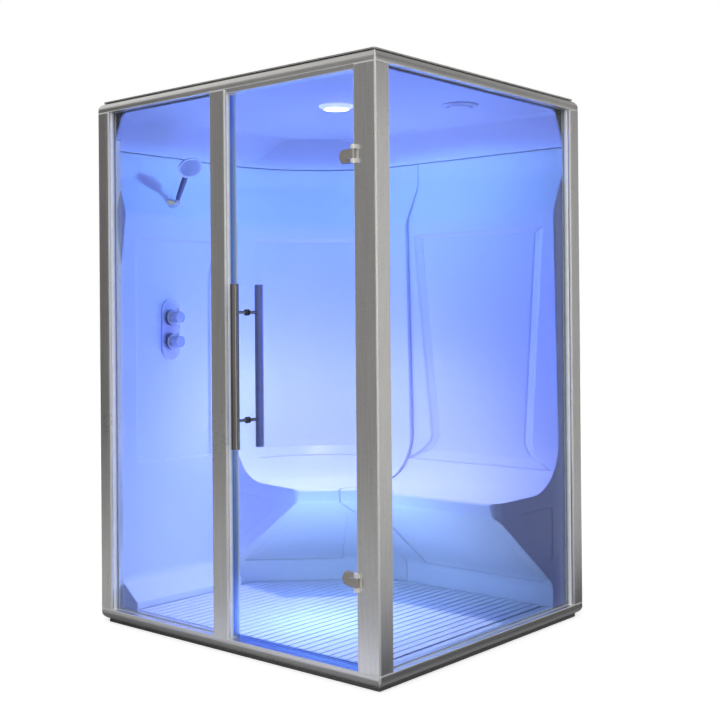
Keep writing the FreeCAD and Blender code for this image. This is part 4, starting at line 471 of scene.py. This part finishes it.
# ---------------------------------------------------------------------------------------
# Studio: pale floor, white surroundings and soft lamps
# ---------------------------------------------------------------------------------------
PLAIN_LIGHT = 0.03
REFLECTED_LIGHT = 0.5
FLOOR_HALF = 20
FLOOR_LIFT = 0.48
FLOOR_DIM = (0.06, 0.06, 0.06)
FLOOR_PALE = (0.84, 0.84, 0.84)


def add_world():
    """White to the camera, half as bright in reflections and faint as a source of light."""
    world = bpy.data.worlds.new("surroundings")
    world.use_nodes = True
    tree = world.node_tree
    tree.nodes.clear()
    path = tree.nodes.new("ShaderNodeLightPath")
    dimmed = tree.nodes.new("ShaderNodeMapRange")
    dimmed.inputs["To Min"].default_value = PLAIN_LIGHT
    dimmed.inputs["To Max"].default_value = REFLECTED_LIGHT
    tree.links.new(path.outputs["Is Glossy Ray"], dimmed.inputs["Value"])
    strength = tree.nodes.new("ShaderNodeMath")
    strength.operation = "MAXIMUM"
    tree.links.new(path.outputs["Is Camera Ray"], strength.inputs[0])
    tree.links.new(dimmed.outputs["Result"], strength.inputs[1])
    back = tree.nodes.new("ShaderNodeBackground")
    back.inputs["Color"].default_value = (*WHITE, 1)
    tree.links.new(strength.outputs[0], back.inputs["Strength"])
    output = tree.nodes.new("ShaderNodeOutputWorld")
    tree.links.new(back.outputs[0], output.inputs["Surface"])
    scene.world = world


def floor_material():
    """Pale floor: white to the camera, greyer in reflections and dim as a source of light.

    Metal sees a painted reflection here, set by place: bright just ahead of the cabin's front,
    but for a painted darker strip along the sill, and dark close to the cabin's right side.
    """
    tree = Tree("studio_floor")
    path = tree.add("LightPath").outputs
    place = tree.place()
    # Painted reflection: how bright glossy rays see the floor is set by place, with painted shade in a strip
    # under the sill.
    far_left = tree.span(place["X"], 0.20, 0.36, -3.6, -1.5)
    near_front = tree.math("MULTIPLY", tree.span(place["Y"], 0.0, 1.0, -1.3, -0.80),
                           tree.span(place["X"], 0.0, 0.36, -0.9, 0.3))
    sill_shade = tree.span(place["Y"], 1.0, 0.25, -0.76, -0.68)
    ahead = tree.math("MULTIPLY", tree.math("ADD", far_left, near_front), sill_shade)
    beside = tree.span(place["X"], 0.05, 0.37, 0.95, 1.7)
    right_part = tree.span(place["X"], 0.0, 1.0, 0.74, 0.80)
    mirrored = tree.math("ADD", tree.math("MULTIPLY", ahead, tree.math("SUBTRACT", 1.0, right_part)),
                         tree.math("MULTIPLY", beside, right_part))
    seen = tree.math("MAXIMUM", path["Is Camera Ray"],
                     tree.math("MULTIPLY", path["Is Glossy Ray"], mirrored))
    looked_at = tree.math("MAXIMUM", path["Is Camera Ray"], path["Is Glossy Ray"])
    lift = tree.add("Emission", {"Color": WHITE, "Strength": tree.math("MULTIPLY", looked_at, FLOOR_LIFT)})
    pale = tree.add("AddShader", {0: tree.add("BsdfDiffuse", {"Color": FLOOR_PALE}), 1: lift})
    dim = tree.add("BsdfDiffuse", {"Color": FLOOR_DIM})
    return tree.finish(tree.add("MixShader", {0: seen, 1: dim, 2: pale}))


def add_plane(name, corners, material):
    mesh = bpy.data.meshes.new(name)
    mesh.from_pydata(corners, [], [tuple(range(len(corners)))])
    mesh.materials.append(material)
    plane = bpy.data.objects.new(name, mesh)
    scene.collection.objects.link(plane)
    return plane


def add_card(name, corners, axis, near, far, low, high):
    """A card that only reflections see, whose brightness goes from low at near to high at far."""
    tree = Tree(name)
    strength = tree.span(tree.place()[axis], low, high, near, far)
    glow = tree.add("Emission", {"Color": (1.0, 0.99, 0.97), "Strength": strength})
    card = add_plane(name, corners, tree.finish(glow))
    for way in ("camera", "diffuse", "transmission", "volume_scatter", "shadow"):
        setattr(card, "visible_" + way, False)


def add_lamp(name, kind, place, aim, power, receivers, colour=WHITE, **settings):
    """A lamp that lights only its receivers."""
    data = bpy.data.lights.new(name, kind)
    data.energy = power
    data.color = colour
    for key, value in settings.items():
        setattr(data, key, value)
    lamp = bpy.data.objects.new(name, data)
    lamp.location = place
    lamp.rotation_euler = (Vector(aim) - Vector(place)).to_track_quat("-Z", "Y").to_euler()
    lamp.light_linking.receiver_collection = receivers
    scene.collection.objects.link(lamp)
    return lamp


add_world()
add_plane("studio_floor", [(-FLOOR_HALF, -FLOOR_HALF, 0), (FLOOR_HALF, -FLOOR_HALF, 0),
                           (FLOOR_HALF, FLOOR_HALF, 0), (-FLOOR_HALF, FLOOR_HALF, 0)], floor_material())

# The front metal sees a dark card, the right metal two paler ones, one above the other, and the
# rails' tops a bright one. The narrow strip puts a thin highlight on round bars
CARDS = {
    "front_card": ([(-9, -3.6, -0.1), (-0.6, -3.6, -0.1), (-0.6, -3.6, 5), (-9, -3.6, 5)],
                   "X", -4.9, -3.2, 0.07, 0.25),
    "side_card": ([(3.3, 0.8, -0.1), (3.3, 8, -0.1), (3.3, 8, 2.75), (3.3, 0.8, 2.75)],
                  "Y", 2.2, 5.0, 0.64, 0.30),
    "side_card_high": ([(3.3, 0.8, 2.8), (3.3, 8, 2.8), (3.3, 8, 6), (3.3, 0.8, 6)],
                       "Z", 2.8, 3.6, 0.30, 0.18),
    "top_card": ([(-7, -6, 5.2), (3, -6, 5.2), (3, 6, 5.2), (-7, 6, 5.2)],
                 "X", -3.4, 0, 0.75, 0.30),
    "strip_card": ([(5, -2.85, 0), (5, -2.42, 0), (5, -2.42, 3.2), (5, -2.85, 3.2)],
                   "Z", 0, 3, 4.5, 4.5),
}
for name, settings in CARDS.items():
    add_card(name, *settings)

INTERIOR = ["left_wall_panel", "corner_seat_module", "right_seat_module", "ceiling_module", "lamp_bezel",
            "lamp_lens", "vent_ring", "vent_disc", "duckboard", "shower_tray", "drain_body", "drain_grate",
            "mixer_plate", "upper_knob", "lower_knob", "shower_wall_elbow", "shower_head", "spray_face",
            "steam_nozzle", "handle_inner_bar", "hinge_inner_plates"]
BOTH_SIDES = ["handle_studs", "handle_bushings", "door_strike_seal", "door_bottom_sweep", "hinge_pads",
              "front_glass_gasket", "side_glass_gasket"]
outside = bpy.data.collections.new("outside")
inside = bpy.data.collections.new("inside")
for name, node in nodes.items():
    if name in INTERIOR + BOTH_SIDES:
        inside.objects.link(node)
    if name not in INTERIOR:
        outside.objects.link(node)
for name in ("spray_studs", "shower_sleeve"):
    inside.objects.link(bpy.data.objects[name])
for name in ("front_left_bead", "mullion_bead", "rear_right_bead", "studio_floor"):
    outside.objects.link(bpy.data.objects[name])

# The room's soft light, on the cabin's outside and the floor
SUNS = {
    "soft_key": ((0.35, -0.45, 1.0), 1.0),
    "soft_front": ((0.6, -0.8, 0.2), 1.9),
    "soft_left": ((-1.0, -0.1, 0.3), 1.6),
    "soft_back": ((0.2, 1.0, 0.3), 1.6),
}
SUN_DISTANCE = 4
ROOM_SOFTNESS = math.radians(50)
for name, (source, strength) in SUNS.items():
    lamp = add_lamp(name, "SUN", [SUN_DISTANCE * part for part in source], (0, 0, 0), strength, outside,
                    angle=ROOM_SOFTNESS)
    lamp.visible_glossy = False

# The cabin's own light: a whitish beam from the ceiling lamp and the blue glow that fills the room
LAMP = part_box("lamp_lens")
LENS_RADIUS = 0.035
lamp_middle = (LAMP[0] + LAMP[1]) / 2
beam_start = (lamp_middle.x, lamp_middle.y, LAMP[0].z - 0.01)
beam_end = (beam_start[0], beam_start[1], 0)
BEAM = {"spot_size": math.radians(80), "spot_blend": 1.0}
WIDE = {"spot_size": math.radians(174), "spot_blend": 0.12}
GLOW = {
    "cabin_beam": ("SPOT", beam_start, 52, (1.0, 0.93, 0.98), LENS_RADIUS, BEAM),
    "cabin_wide": ("SPOT", beam_start, 25, (0.175, 0.43, 1.0), LENS_RADIUS, WIDE),
    "glow_low": ("POINT", (0.15, -0.25, 0.35), 8.0, (0.30, 0.52, 1.0), 0.20, {}),
    "glow_back": ("POINT", (-0.30, 0.05, 0.95), 3.6, (0.76, 0.80, 1.0), 0.30, {}),
    "glow_seat": ("POINT", (0.30, -0.10, 1.15), 12, (0.0, 0.0, 1.0), 0.30, {}),
    "glow_left": ("POINT", (-0.30, -0.38, 0.75), 6, (0.0, 0.03, 1.0), 0.25, {}),
}
for name, (kind, place, power, colour, size, settings) in GLOW.items():
    lamp = add_lamp(name, kind, place, beam_end, power, inside, colour, shadow_soft_size=size, **settings)
    lamp.visible_camera = False
    lamp.visible_transmission = False
    lamp.visible_glossy = name == "cabin_beam"

# Blue haze on the mouldings' ends and the inner handle bar, each seen through the pane beside it
HAZE = {
    "haze_right": ((1.0, -0.15, 0.1), 0.75, (0.10, 0.17, 1.0), ["right_seat_module", "ceiling_module"]),
    "haze_front": ((0.1, -1.0, 0.1), 1.3, (0.13, 0.22, 1.0),
                   ["left_wall_panel", "ceiling_module", "handle_inner_bar"]),
}
HAZE_SOFTNESS = math.radians(30)
for name, (source, strength, colour, hazy) in HAZE.items():
    only = bpy.data.collections.new(name)
    for node in hazy:
        only.objects.link(nodes[node])
    lamp = add_lamp(name, "SUN", source, (0, 0, 0), strength, only, colour, angle=HAZE_SOFTNESS)
    lamp.visible_glossy = False

scene.view_settings.view_transform = "Standard"
